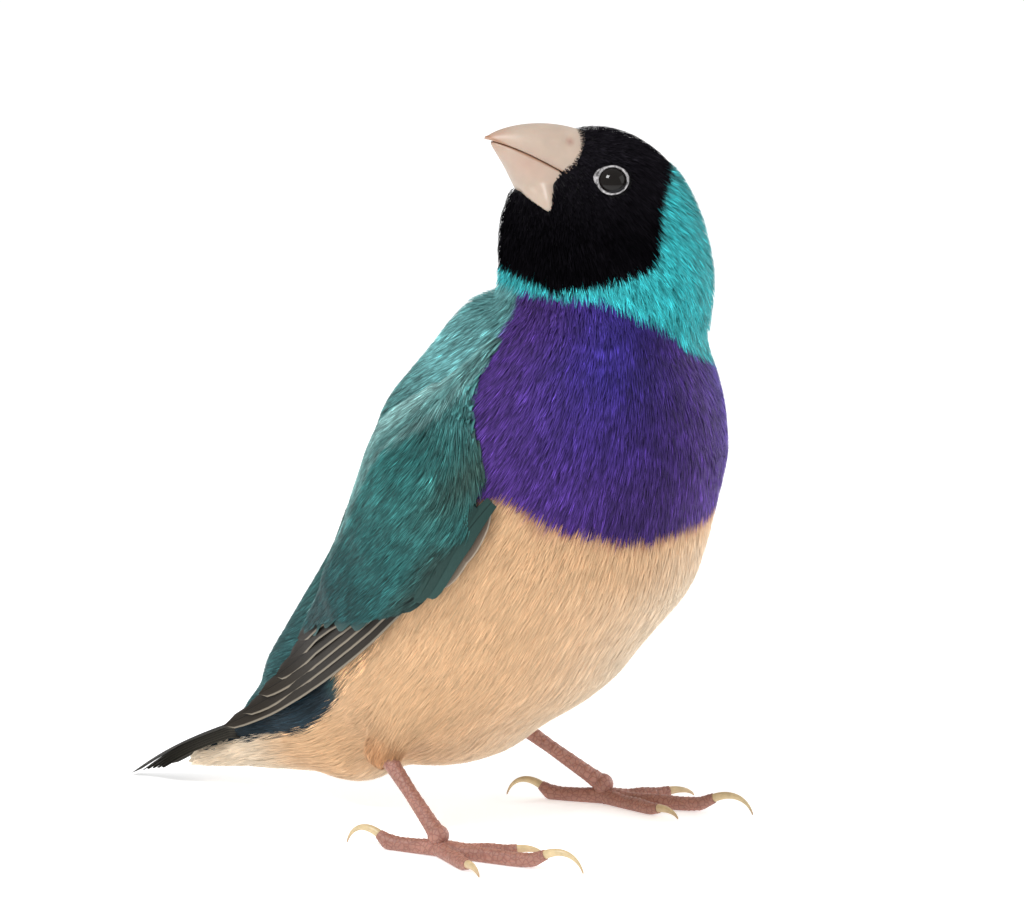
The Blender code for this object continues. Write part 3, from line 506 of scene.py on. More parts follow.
# %% Quills
def quill_material(name, rim=0.0, rim_colour=(0.30, 0.27, 0.20, 1), barbs_per_vane=34.0, roughness=0.5):
    """Dye times slanting barbs and painted shade at the root, a dark shaft down the middle and a pale rim on
    the outer edge.
    """
    made, shader, start = new_material(name, Roughness=roughness, Specular_IOR_Level=0.12)
    vane = start.node("UVMap", {"uv_map": "Vane"})
    x = vane.node("SeparateXYZ", None, 0, Vector=vane).sum("FRACT")
    y = vane.node("SeparateXYZ", None, 1, Vector=vane)
    off = (x - 0.5).sum("ABSOLUTE")
    slant = ((y - off * 0.55) * barbs_per_vane * 6.28).sum("SINE") * 0.5 + 0.5
    grain = vane.node("TexNoise", FLAT, 0, Scale=1.0, Detail=3.0,
                      Vector=vane.node("CombineXYZ", None, X=x * 9.0, Y=(y - off * 0.5) * 60.0))
    shaft = 1 - off.ramp(0.012, 0.045)
    # The factor that rises along the quill is painted shade, darkest at its root.
    light = (0.80 + slant * 0.16 + grain * 0.24) * (0.75 + 0.3 * y) * (1 - shaft * 0.55)
    dye = vane.node("Attribute", {"attribute_name": "Dye"})
    colour = light.tinted(dye)
    if rim:
        edge = (1 - x).ramp(0.88, 0.94) * rim
        colour = edge.blend(colour, rim_colour)
    feed(colour, shader, "Base Color")
    relief = slant * 0.5 + grain + shaft * 2.0
    feed(vane.node("Bump", None, Strength=0.4, Distance=0.00005, Height=relief), shader, "Normal")
    return made


silk = feather_material("silky cream feathers", 0.16, 0.86, cloudy=0.04)
satin = feather_material("satin feathers", 0.5, 0.5)
fluff = feather_material("fluffy collar feathers", 0.4, 0.5)
velvet = feather_material("velvet mask feathers", 0.5, 0.6, 0.9, 0.0, 0.0)
covert_finish = feather_material("covert feathers", 0.6, 0.45, 0.5)
quill_finish = quill_material("green quills")
rimmed_finish = quill_material("pale edged quills", 0.8, (0.30, 0.26, 0.20, 1))
edged_finish = quill_material("whitish wing edge", 0.7, (0.45, 0.38, 0.30, 1))
tail_finish = quill_material("tail quills", 0.5, (0.085, 0.075, 0.055, 1))
print("feather materials:", silk.name, quill_finish.name)

# %% [markdown]
# ## One skin
# The flesh is one closed surface without seams. Rough shapes of trunk, head and thighs overlap, a
# voxel remesh turns them into one even net, and each point of the net is then moved to its exact
# depth under the plumage: a millimetre on the body and less on the face.

# %% The skin
def coat_depth(p):
    """Half a millimetre on the face, rising to a full one away from it."""
    local, _ = head_map(p)
    away = np.linalg.norm(local - (6, 0, 0), axis=-1)
    return np.interp(away, (4, 14, 22), (0.42, 0.75, 1.05))


def rough_parts():
    """Overlapping grids closed at both ends: trunk rings, head rays and a short bar in each thigh."""
    along, angle = np.meshgrid(np.linspace(1, 96, 40), np.arange(32) * 360 / 32, indexing="ij")
    trunk = on_body(along, angle, -1.0, plumed_distance)
    polar, turn = np.meshgrid(np.linspace(0.05, 3.09, 24), np.arange(32) * 2 * math.pi / 32, indexing="ij")
    ray = (np.cos(polar)[..., None] * BILL + (np.sin(polar) * np.cos(turn))[..., None] * CROWN
           + (np.sin(polar) * np.sin(turn))[..., None] * SIDE)
    parts = [trunk, reach(HEAD, ray, -0.6, body_distance, 22.0)]
    for side in (1, -1):
        rise = unit(HEEL[side] - ANKLE[side])
        root = np.array([-10.0 * side, 7.0, 20.0])
        parts.append(bar([HEEL[side] + rise * 0.6, HEEL[side] + rise * 2.2, root], [1.0, 1.6, 4.0], 12))
    return parts


def bar(points, radii, sides):
    """Rings of a radius round each point, square to the way from its neighbours."""
    points = np.asarray(points, float)
    way = unit(np.gradient(points, axis=0))
    first = unit(np.cross(way, (0.31, 0.2, 0.93)))
    second = np.cross(way, first)
    angle = np.arange(sides) * 2 * math.pi / sides
    circle = np.cos(angle)[None, :, None] * first[:, None] + np.sin(angle)[None, :, None] * second[:, None]
    return points[:, None] + circle * np.asarray(radii)[:, None, None]


def closed_mesh(grids):
    """Grids of rings put into one mesh, each end closed by one face."""
    work = bmesh.new()
    for grid in grids:
        rows, columns = grid.shape[:2]
        verts = [work.verts.new(co) for co in place(grid).reshape(-1, 3)]
        for face in grid_faces(rows, columns, True):
            work.faces.new([verts[k] for k in face])
        work.faces.new(verts[:columns][::-1])
        work.faces.new(verts[-columns:])
    bmesh.ops.recalc_face_normals(work, faces=work.faces)
    mesh = bpy.data.meshes.new("rough")
    work.to_mesh(mesh)
    work.free()
    return mesh


def remeshed(mesh, voxel):
    """The outer surface of overlapping closed shapes as one even net."""
    holder = in_scene("rough", mesh)
    change = holder.modifiers.new("net", "REMESH")
    change.mode = "VOXEL"
    change.voxel_size = voxel
    bpy.context.view_layer.update()
    net = bpy.data.meshes.new_from_object(holder.evaluated_get(bpy.context.evaluated_depsgraph_get()))
    bpy.data.objects.remove(holder)
    return net


def points_of(mesh):
    """A mesh's points in millimetres from between the feet."""
    flat = np.empty(len(mesh.vertices) * 3)
    mesh.vertices.foreach_get("co", flat)
    return flat.reshape(-1, 3) / MM + ORIGIN


net = remeshed(closed_mesh(rough_parts()), 0.75 * MM)
skin_points = points_of(net)
for _ in range(3):
    skin_points = settle(skin_points, -coat_depth(skin_points), turns=1)
net.vertices.foreach_set("co", place(skin_points).ravel())
net.shade_smooth()
dye = net.color_attributes.new(name="Dye", type="FLOAT_COLOR", domain="POINT")
# The skin takes the plumage's colour at half: painted shade for the skin that shows between feathers, with a
# fine grain of down.
shaded = np.concatenate([plumage(skin_points) * 0.5, np.ones((len(skin_points), 1))], 1)
dye.data.foreach_set("color", shaded.ravel())
down, down_shader, start = new_material("down on skin", Roughness=0.85)
grain = start.node("TexNoise", None, 0, Vector=start, Scale=2600.0, Detail=3.0)
feed((0.6 + grain * 0.8).tinted(start.node("Attribute", {"attribute_name": "Dye"})), down_shader, "Base Color")
net.materials.clear()
net.materials.append(down)
skin = in_scene("skin", net)
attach(skin, "root")
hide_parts("torso", "neck", "head")
print("skin of", len(net.polygons), "faces")

# %% [markdown]
# ## Where feathers are rooted
# Roots should be even, not clumped. Many more points than needed are scattered over the skin by area,
# and space is divided into small cubes, of which each keeps one point.

# %% Scatter roots over the skin
def scatter(count):
    """Random points on the skin's triangles, each triangle's share given by its area."""
    net.calc_loop_triangles()
    corners = np.empty(len(net.loop_triangles) * 3, np.int32)
    net.loop_triangles.foreach_get("vertices", corners)
    a, b, c = skin_points[corners.reshape(-1, 3)].transpose(1, 0, 2)
    area = np.linalg.norm(np.cross(b - a, c - a), axis=1)
    pick = rng.choice(len(area), count, p=area / area.sum())
    u, v = rng.random((2, count, 1))
    fold = u + v > 1
    u, v = np.where(fold, 1 - u, u), np.where(fold, 1 - v, v)
    return a[pick] + u * (b[pick] - a[pick]) + v * (c[pick] - a[pick])


def thinned(points, cell):
    """One point for each cube of this size."""
    key = np.floor(points / cell).astype(np.int64)
    _, keep = np.unique(key @ np.array([1, 100003, 10000600009]), return_index=True)
    return points[keep]


def eye_frame(side):
    """Middle of an eyeball, sunk under the skin, and the way it looks: forward of square to the skin."""
    inside = on_head(2.3, side * 2.0, 3.4)
    surface = reach(inside, side * SIDE, 0.0, head_distance)
    look = unit(slope(surface, head_distance) + 0.9 * side * SIDE)
    return surface - EYE_DEPTH * look, look


EYE_RADIUS, EYE_DEPTH = 2.4, 2.2
EYE_RIM, LID_RIM = 1.72, 2.08            # radii of the opening and of the lid's outer edge
EYES = {side: eye_frame(side) for side in (1, -1)}
BILL_TIP, BILL_ROOT, BILL_HALF = np.array([17.9, 1.0]), 6.5, 4.2
JAW = ((9.9, -1.0, 2.1), (8.9, -1.8, 1.6), (8.1, -2.8, 1.0), (7.45, -3.5, 0.4))   # forward, upward, radius
JAW_EDGE = ((10.9, -2.3, 1.1), (9.8, -2.7, 1.0), (8.6, -3.15, 0.75), (7.5, -3.6, 0.4))
BARE_BACK = ((-9, -3.6, -1.8, -0.1, 1.2, 2.1, 3.2, 4.5, 5.6, 6.4, 7.5),           # upward -> forward
             (7.2, 7.5, 7.9, 8.2, 8.2, 8.1, 7.5, 7.7, 7.8, 8.0, 9.5))
BARE_LOW = ((7.0, 7.5, 8.9, 10.2, 12.0, 20.0), (-3.6, -3.6, -2.9, -2.8, -3.1, -9.0))   # forward -> upward


def bill_outline(t):
    """Ridge, mouth and keel heights and half width of the bill at a share t of its length."""
    t = np.clip(t, 0, 1)
    ridge = BILL_TIP[1] + 6.1 * (1 - t ** 1.75) ** 0.72
    mouth = 1.35 + 0.35 * np.sin(math.pi * t) - 0.35 * t ** 6
    keel = np.interp(t, (0, 0.43, 0.68, 0.94, 1), (-4.6, -3.4, -1.1, 0.9, 0.95))
    half = BILL_HALF * (1 - t ** 1.5) ** 0.8 + 0.28 + 0.5 * np.maximum(1 - t / 0.35, 0) ** 2
    return ridge, mouth, keel, half


def in_the_way(points, margin=0.0):
    """True over an eye, and over the bare horn: before its back edge and above its lower one."""
    away = points[..., None, :] - np.array([EYES[1][0], EYES[-1][0]])
    looks = np.array([EYES[1][1], EYES[-1][1]])
    ahead = (away * looks).sum(-1)
    off = np.linalg.norm(away - ahead[..., None] * looks, axis=-1)
    over_eye = ((off < 1.95 + margin) & (ahead > 0)).any(-1)
    forward, upward = head_map(points)[0][..., 0], head_map(points)[0][..., 2]
    bare = forward > np.interp(upward, *BARE_BACK) - margin
    bare &= upward > np.interp(forward, *BARE_LOW) - margin
    return over_eye | (bare & (upward < 8) & (points[..., 2] > 72))


print("eyes at", EYES[1][0].round(1), EYES[-1][0].round(1))

# %% [markdown]
# ## The coat
# Each feather starts under the surface at its root and is walked along the lie in a few steps, while
# it rises to its level. Soft vanes, laid a little lower, close the coat. Over them lie blades as fine
# as hair, each turned a little about itself so that it catches the light differently, which gives the
# combed look. Mask, collar, breast, belly and back differ in how fine, loose and glossy they are.

# %% Feathers laid along a surface
def flat_level(p):
    """The level of the plain coat: the surface itself."""
    return np.zeros(p.shape[:-1])


def low_level(p):
    """A quarter of a millimetre under the surface, where the closed coat of vanes lies."""
    return np.full(p.shape[:-1], -0.25)


def shared(points, cell, spread):
    """Normal draws that all the points in one cube of space have in common, as neighbours in a tuft do."""
    key = np.floor(points / cell).astype(np.int64) @ np.array([1, 100003, 10000600009])
    _, which = np.unique(key, return_inverse=True)
    return rng.normal(0, spread, which.max() + 1)[which.ravel()]


def walk(roots, lengths, steps, rise, yaw, way_at, level_at, field):
    """Places along each feather: a step along the lie, then back to the level of that place."""
    normal = unit(slope(roots, field))
    turn = np.radians(rng.normal(0, 0.6 * yaw, len(roots)) + shared(roots, 0.7, 0.9 * yaw))[:, None]
    depth = 0.75 * coat_depth(roots)
    way = way_at(roots, normal)
    p = settle(roots, level_at(roots) - depth, field, 1)
    track, sides = [p], [np.cross(way, normal)]
    for k in range(1, steps):
        way = way_at(p, normal)
        way = way * np.cos(turn) + np.cross(normal, way) * np.sin(turn)
        share = k / (steps - 1)
        p = p + way * (lengths / (steps - 1))[:, None]
        p = settle(p, level_at(p) + (share ** 0.6 - 1) * depth + rise * share ** 2, field, 1)
        normal = unit(slope(p, field))
        track.append(p)
        sides.append(np.cross(way, normal))
    return np.stack(track, 1), unit(np.stack(sides, 1)), normal


def leaves(roots, lengths, widths, steps, columns, rise=0.1, roll=12.0, yaw=3.0, point=2.2, camber=0.08,
           way_at=lie, level_at=flat_level, field=plumed_distance):
    """Grids across each walked line: full width near the middle, closing to the tip, rolled and arched."""
    track, side, normal = walk(roots, lengths, steps, rise, yaw, way_at, level_at, field)
    share = np.linspace(0, 1, steps)
    outline = np.interp(share, (0, 0.35, 1), (0.7, 1, 1)) * np.maximum(1 - share ** point, 0) ** 0.6
    outline[-1] = 0.08
    tilt = np.radians(rng.normal(0, roll, len(roots)))[:, None, None]
    across = np.linspace(-1, 1, columns)
    half = widths[:, None, None] * outline[None, :, None]
    spread = side * np.cos(tilt) + normal[:, None] * np.sin(tilt)
    arch = camber * (1 - across ** 2)[None, None, :, None] * half[..., None] * 2 * normal[:, None, None]
    return track[:, :, None] + spread[:, :, None] * (half * across)[..., None] + arch


# Each curve gives an angle round the body for the millimetres along it, and the last one the other way.
WING_RIM = ((0, 4, 7, 11.5, 16, 20.5, 22, 25, 31, 36, 40, 57, 67, 78, 90),
            (115, 115, 114, 109, 93, 80, 76, 74, 77, 80, 84, 97, 106, 103, 99))
WING_TOP = ((0, 8, 20, 34, 45, 60, 75, 92), (119, 126, 138, 147, 151, 152, 142, 112))
WING_RIDGE = ((0, 7, 17.5, 33.5, 43, 62), (114, 116, 119, 125, 129, 136))
COVER_END = ((74, 78, 84, 90, 97, 103, 114, 134, 150), (31, 36, 39.5, 42.5, 45.5, 48, 52, 61.5, 63))


def wing_share(along, angle):
    """Place between the wing's lower edge, 0, and its upper edge, 1."""
    low, high = np.interp(along, *WING_RIM), np.interp(along, *WING_TOP)
    return (np.abs(angle) - low) / (high - low)


def under_wing(p, margin=0.12):
    """True where a folded wing hides the body."""
    along, angle = body_map(p)
    share = wing_share(along, angle)
    return (share > margin) & (share < 1 - margin) & (along > 7) & (along < 84) & (p[..., 2] < 71)


def add_coat(name, roots, lengths, widths, steps, columns, material, slot_name, vary=0.1, most=180000, **shape):
    """Feathers and their dyes, less those over an eye or the bill, in pieces of up to so many triangles."""
    grids = leaves(roots, lengths, widths, steps, columns, **shape)
    clear = ~in_the_way(grids).reshape(len(grids), -1).any(1)
    dyes = plumage(roots + rng.normal(0, 0.2, roots.shape))
    dyes = dyes * np.exp(shared(roots, 0.3, vary) + shared(roots, 1.5, 0.4 * vary))[:, None]
    grids, roots, dyes = grids[clear], roots[clear], dyes[clear]
    pieces = max(1, math.ceil(len(grids) * (steps - 1) * (columns - 1) * 2 / most))
    for k in range(pieces):
        part = slice(k, None, pieces)
        title = f"{name}_{k + 1}" if pieces > 1 else name
        piece = add_vanes(title, grids[part], dyes[part], unwrap(roots[part]), material)
        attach(piece, "root")
    print(name, len(grids), "feathers in", pieces, "pieces")


def feather_size(p):
    """Length in millimetres: short at the bill and eye, longest on the breast and back."""
    local, turn = head_map(p)
    face = np.linalg.norm(local - (7, 0, 1), axis=-1)
    size = np.interp(face, (3, 8, 14, 24, 32, 47, 52, 66), (0.8, 1.2, 1.8, 2.4, 2.6, 2.8, 4.4, 6.0))
    size = np.minimum(size, np.interp(turn, (70, 120), (1.4, 2.6)) + np.abs(p[..., 2] - 73.0) / 2.5)
    size = np.minimum(size, np.interp(p[..., 1], (34, 44), (6.0, 3.4)))
    for side in (1, -1):
        size = np.minimum(size, 1.3 + 0.35 * np.linalg.norm(p - HEEL[side], axis=-1))
    return size


def masked(p):
    """True where the plumage is the black of the mask, the darkest of its colours."""
    return (plumage(p).sum(-1) < 0.05) & (p[:, 2] > 72)


# %% Vanes beneath and blades on top
TAIL_COAT = ((66, 76, 80, 90), (49, 47, 41, 42))      # angle -> how far back blades are rooted
roots = thinned(scatter(300000), 0.66)
roots = roots[~in_the_way(roots, 0.2) & ~under_wing(roots) & (roots[:, 1] < 49.5)]
size = np.minimum(feather_size(roots), 3.5)
black = masked(roots)
for name, chosen, material, slot_name in (("mask_vanes", black, velvet, "black_feathers"),
                                          ("vanes", ~black, silk, "cream_feathers")):
    add_coat(name, roots[chosen], size[chosen], size[chosen] * 0.22, 4, 2, material, slot_name,
             rise=0.0, roll=3.0, yaw=4.0, point=3.5, level_at=low_level)

blades = thinned(scatter(900000), 0.2)
blades = blades[~in_the_way(blades, 0.1) & ~under_wing(blades)]
blades = blades[blades[:, 1] < np.interp(np.abs(body_map(blades)[1]), *TAIL_COAT)]
colours, dark = plumage(blades), masked(blades)
head = ~dark & (blades[:, 2] > 70)
back = ~dark & ~head & (np.abs(body_map(blades)[1]) > 92)
breast = ~dark & ~head & ~back & (colours[:, 2] > colours[:, 0])
belly = ~dark & ~head & ~back & ~breast
for name, chosen, material, slot_name, cell, half, rise, roll, yaw, vary in (
        ("mask_feathers", dark, velvet, "black_feathers", 0.24, 0.062, 0.04, 12.0, 3.0, 0.25),
        ("collar_feathers", head, fluff, "turquoise_feathers", 0.22, 0.056, 0.32, 20.0, 10.0, 0.28),
        ("breast_feathers", breast, satin, None, 0.25, 0.064, 0.08, 14.0, 3.0, 0.34),
        ("belly_feathers", belly, silk, "cream_feathers", 0.29, 0.058, 0.04, 7.0, 2.2, 0.10),
        ("back_feathers", back, satin, "teal_feathers", 0.26, 0.064, 0.08, 14.0, 3.0, 0.40)):
    chosen = thinned(blades[chosen], cell)
    size = feather_size(chosen) * rng.uniform(0.8, 1.15, len(chosen))
    add_coat(name, chosen, size, np.full(len(chosen), half), 4, 2, material, slot_name, vary,
             rise=rise, roll=roll, yaw=yaw, point=2.6)

# %% [markdown]
# ## The wings
# A folded wing is a stack. The long primaries lie lowest, the secondaries cover them, broad tertials
# close the top, and over their roots lies a coat of coverts and scapulars as fine as the body's own.
# A quill is stiff, so its path is a smooth cubic through places laid over the body.

# %% Paths and vanes of the quills
def quill_path(stops, level=1.0, steps=30):
    """A cubic fitted through places on the map of the body, which run through the stops."""
    stops = np.array(stops, float)
    s = np.linspace(0, 1, steps)
    along, angle = (np.interp(s, np.linspace(0, 1, len(stops)), stops[:, k]) for k in range(2))
    places = on_body(along, angle, level)
    return np.stack([np.polyval(np.polyfit(s, places[:, k], 3), s) for k in range(3)], -1)


def quill(places, half, heights, roll, blunt=1.0, columns=9):
    """A vane over its path: width times an outline that rounds off at the tip, outer edge raised by roll."""
    s = np.linspace(0, 1, len(places))
    normal = unit(slope(places, lay_distance))
    forward = unit(np.gradient(places, axis=0))
    side = unit(np.cross(forward, normal))
    normal = np.cross(side, forward)
    outline = np.interp(s, (0, 0.3, 1), (0.55, 1, 1)) * np.maximum(1 - s ** (6 + 8 * blunt), 0) ** 0.5
    outline[-1] = 0.04
    across = np.linspace(-1, 1, columns)
    wide = half * outline[:, None] * across
    level = np.interp(s, np.linspace(0, 1, len(heights)), heights)[:, None]
    level = level - roll * wide + 0.12 * (1 - across ** 2) - 0.12 * np.abs(across) ** 4
    return places[:, None] + side[:, None] * wide[..., None] + normal[:, None] * level[..., None]


def both_wings(name, grids, tints, patches, material):
    """The right wing's piece and the left's, which is the same turned over and faces outwards again."""
    for title, turned in (("wing_right", False), ("wing_left", True)):
        placed = grids * ((-1, 1, 1) if turned else 1)
        piece = add_vanes(f"{title}_{name}", placed, tints, patches, material, turned)
        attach(piece, "root")
        if name == "primaries":
            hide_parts(title)
    print(name, len(grids), "in each wing")


def lay_quills(name, grids, tints, finish, least=1.0, most=1.0):
    """Quills of both wings, each tint made lighter or darker by a draw between the least and the most."""
    grids, tints = np.array(grids), np.array(tints)
    if most > least:
        tints = tints * rng.uniform(least, most, (len(grids), 1))
    both_wings(name, grids, tints, unwrap(grids.mean((1, 2))), finish)


QUILL_RADIUS = ((30, 44, 58, 70, 80, 90), (22, 18.5, 13.5, 9.5, 7.5, 6.5))     # body's radius along its line


def primary_stops(k):
    """Places on the body's map: the wing's lower edge, plus this quill's distance above it as an angle."""
    along = np.linspace(31, 89.5 - 4.2 * k, 7)
    above = 1.45 + np.interp(along, (31, 58, 89), (0.9, 1.15, 0.7)) * k
    above = above * np.interp(along, (31, 80, 90), (1, 1, 0.5))
    angle = np.interp(along, *WING_RIM) + 1 + np.degrees(above / np.interp(along, *QUILL_RADIUS))
    return np.stack([along, angle], 1)


# %% Quills of both wings
PRIMARIES = [primary_stops(k) for k in range(6)]
SECONDARIES = [((20 + 1.5 * k, 78 + 4 * k), (29 + 1.6 * k, 80 + 3.4 * k), (36.5 + 1.8 * k, 82 + 3.6 * k))
               for k in range(6)]
TERTIALS = [((28, 96), (40, 101), (51, 107)), ((32, 103), (44, 108), (54.5, 116)),
            ((34, 110), (46, 117), (58, 126)), ((36, 118), (48, 125), (63, 134))]
EDGE = [((20, 79), (25, 75), (30, 77.5)), ((22, 78), (28, 76), (34, 79))]
lay_quills("primaries", [quill(quill_path(stops), 1.5, (0.0, 0.05 + 0.09 * k, 0.1 + 0.1 * k), 0.16, 1.6)
                         for k, stops in enumerate(PRIMARIES)],
           [(0.023, 0.018, 0.013)], rimmed_finish, 0.8, 1.25)
lay_quills("secondaries", [quill(quill_path(stops), 1.6, (0.1, 0.35, 0.3), 0.18, 0.9) for stops in SECONDARIES],
           [(0.024, 0.060, 0.054)], quill_finish, least=0.85, most=1.2)
lay_quills("tertials", [quill(quill_path(stops), 2.3, (0.2, 0.5, 0.4 + 0.1 * k), 0.10, 0.8)
                        for k, stops in enumerate(TERTIALS)],
           [(0.024, 0.080, 0.078)], quill_finish, least=0.85, most=1.2)
lay_quills("edge", [quill(quill_path(stops, 0.6), 0.95, (0.0, 0.35, 0.3), 0.12, 0.5) for stops in EDGE],
           [(0.16, 0.12, 0.09), (0.20, 0.16, 0.12)], edged_finish)

# %% [markdown]
# ## Coverts and scapulars
# The rest of the wing is soft. Its coat is laid with the same function as the body's, but at the height
# of the folded wing and along the wing's own lie, so the feathers run together towards its tip.

# %% The wing's own height, lie and colours
WING_HEIGHT = ((0, 6, 16, 30, 42, 51, 62), (0.2, 0.9, 1.7, 2.1, 2.3, 3.0, 2.6))    # along -> height


def wing_level(p):
    """Height of the wing over the body: a hump between its edges with a crest along the scapulars."""
    along, angle = body_map(p)
    share = np.clip(wing_share(along, angle), 0, 1)
    crest = np.exp(-((np.abs(angle) - np.interp(along, *WING_RIDGE)) / 4.0) ** 2)
    fullness = np.where(share < 0.4, np.interp(along, (14, 25), (0.6, 0.12)), 0.6)
    swell = np.sin(math.pi * np.clip(share, 0.002, 0.998)) ** fullness
    return swell * np.interp(along, *WING_HEIGHT) + 0.35 * crest - 0.05


def covert_level(p):
    """The broad coverts lie a quarter of a millimetre lower than the fine blades over them."""
    return wing_level(p) - 0.25


def wing_lie(p, normal):
    """Along the wing at a constant share of its width: the trunk's direction turned round the body."""
    along, angle = body_map(p)
    share = wing_share(along, angle)[..., None]
    edge = [((np.interp(along + 4, *curve) - np.interp(along - 4, *curve)) / 8)[..., None]
            for curve in (WING_RIM, WING_TOP)]
    turning = np.radians(edge[0] * (1 - share) + edge[1] * share)
    centre, heading, _ = axis_frame(along)
    around = np.cross(heading, p - centre)
    way = heading + turning * around
    way = way - (way * normal).sum(-1, keepdims=True) * normal
    return unit(way)


def wing_dye(p):
    """Teal that is paler at the shoulder, has a painted highlight on the crest, is greyer behind it and darker
    towards the quills.
    """
    along, angle = body_map(p)
    ridge = np.interp(along, *WING_RIDGE)
    tint = mix(np.array([0.026, 0.150, 0.145]), np.array([0.010, 0.060, 0.064]), (along - 28) / 20)
    tint = mix(tint, np.array([0.10, 0.30, 0.30]), 1 - (along - 3) / 14)
    grey = np.exp(-((angle - 98 + 0.2 * along) / 7) ** 2) * np.exp(-((along - 16) / 8) ** 2)
    tint = mix(tint, np.array([0.040, 0.085, 0.072]), 0.9 * grey)
    tint = mix(tint, np.array([0.22, 0.42, 0.41]), (angle - ridge - 1) / 7 * 0.8)
    # A pale stripe along the crest: a painted highlight.
    pale = np.exp(-((angle - ridge - 0.5) / 1.5) ** 2) * np.clip(1.2 - np.abs(along - 18) / 30, 0, 1)
    tint = mix(tint, np.array([0.26, 0.42, 0.41]), 0.5 * pale)
    low = np.clip(1 - (angle - 80 - 0.25 * (along - 20)) / 7, 0, 1) * np.clip((along - 20) / 6, 0, 1)
    tint = mix(tint, np.array([0.022, 0.050, 0.044]), 0.92 * low)
    return tint


# %% Coverts of both wings
count = 420000
place_along, share = 1.0 + 60.0 * rng.random(count), rng.random(count) * 1.02 - 0.01
low, high = np.interp(place_along, *WING_RIM), np.interp(place_along, *WING_TOP)
place_angle = low + share * (high - low)
keep = rng.random(count) < (high - low) / 76.0
keep &= place_angle > low + np.interp(place_along, (16, 20, 34, 38), (-1, 6, 6, -1))
keep &= place_along < np.interp(place_angle, *COVER_END) - 3.2 + rng.uniform(-0.8, 1.2, count)
roots = on_body(place_along[keep], place_angle[keep], 1.0)
for name, cell, length, half, columns, shape in (
        ("coverts", 0.75, 4.2, 0.62, 3, dict(rise=0.0, roll=6.0, point=3.5, level_at=covert_level)),
        ("plumes", 0.235, 4.4, 0.062, 2, dict(rise=0.08, roll=14.0, point=2.6, level_at=wing_level))):
    chosen = thinned(roots, cell)
    along, _ = body_map(chosen)
    lengths = length * np.interp(along, (0, 8, 24), (0.6, 0.8, 1.0)) * rng.uniform(0.8, 1.15, len(chosen))
    grids = leaves(chosen, lengths, np.full(len(chosen), half), 5, columns, yaw=3.0, way_at=wing_lie,
                   field=lay_distance, **shape)
    dyes = wing_dye(chosen + rng.normal(0, 0.25, chosen.shape))
    dyes = dyes * np.exp(shared(chosen, 0.32, 0.42) + shared(chosen, 1.8, 0.16))[:, None]
    both_wings(name, grids, dyes, unwrap(chosen), covert_finish)

# %% [markdown]
# ## The tail
# Twelve quills lie like the tiles of a narrow roof: the middle pair longest and on top, each next pair
# a little shorter, lower, further out and steeper. In the photo's pose the tip rests on the floor.

# %% Tail quills
TAIL_ROOT, TAIL_TIP = np.array([0.0, 38.2, 9.6]), np.array([-3.6, 62.4, 0.1])


def tail_quill(pair, side, rows=26, columns=7):
    """A vane along the tail: height falls with the length, and each pair hangs lower and steeper."""
    s = np.linspace(0.05, 1, rows)
    axis = TAIL_TIP - TAIL_ROOT
    forward = unit(axis * (1, 1, 0))
    across = np.array([forward[1], -forward[0], 0.0]) * side
    run = s * (1.0 - 0.035 * pair - 0.05 * (pair > 0))
    middle = TAIL_ROOT + forward * (run * np.linalg.norm(axis[:2]))[:, None]
    middle[:, 2] = TAIL_ROOT[2] + axis[2] * run ** 1.08 + 2.5 * (1 - s ** 4) * np.minimum(s / 0.35, 1)
    steep = math.radians(10 + 4.5 * pair)
    out = (0.75 + 0.42 * pair) * (1 - 0.55 * s ** 3)
    drop = 0.05 + (0.09 * pair + 0.013 * pair ** 2) * (1 - 0.35 * s ** 2)
    half = 1.45 * np.interp(s, (0, 0.4, 1), (0.8, 1, 0.9)) * np.clip(1 - s ** 6, 0, 1) ** 0.5
    half = np.maximum(half, 0.05)[:, None]
    t = np.linspace(1, -1, columns)
    grid = (middle + across * out[:, None])[:, None] + across * (half * t * math.cos(steep))[..., None]
    grid[..., 2] += 0.15 * (1 - t ** 2) - drop[:, None] - half * (t + 1) * math.sin(steep) * 0.8
    grid[..., 2] = np.maximum(grid[..., 2], 0.06 + 0.02 * (5 - pair))
    return grid


for side, title in ((-1, "tail_right"), (1, "tail_left")):
    grids = np.array([tail_quill(pair, side) for pair in range(6)])
    tints = np.array([(0.030, 0.028, 0.024)]) * rng.uniform(0.8, 1.25, (len(grids), 1))
    piece = add_vanes(title + "_quills", grids, tints, unwrap(grids.mean((1, 2))), tail_finish, side > 0)
    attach(piece, "root")
    if side < 0:
        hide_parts("tail")
    print(title, len(grids), "quills")

# %% [markdown]
# ## The bill
# A seed eater's bill is a short strong cone of horn in two halves. Its ridge, mouth and keel are three
# curves of the same length, and each cross section is an arch between two of them. The lower half
# forks into two branches along the cheeks: bars that a remesh and some smoothing melt into the horn.

# %% Both halves of the bill
NOSTRIL = 8.75, 5.3          # forward and upward on the head


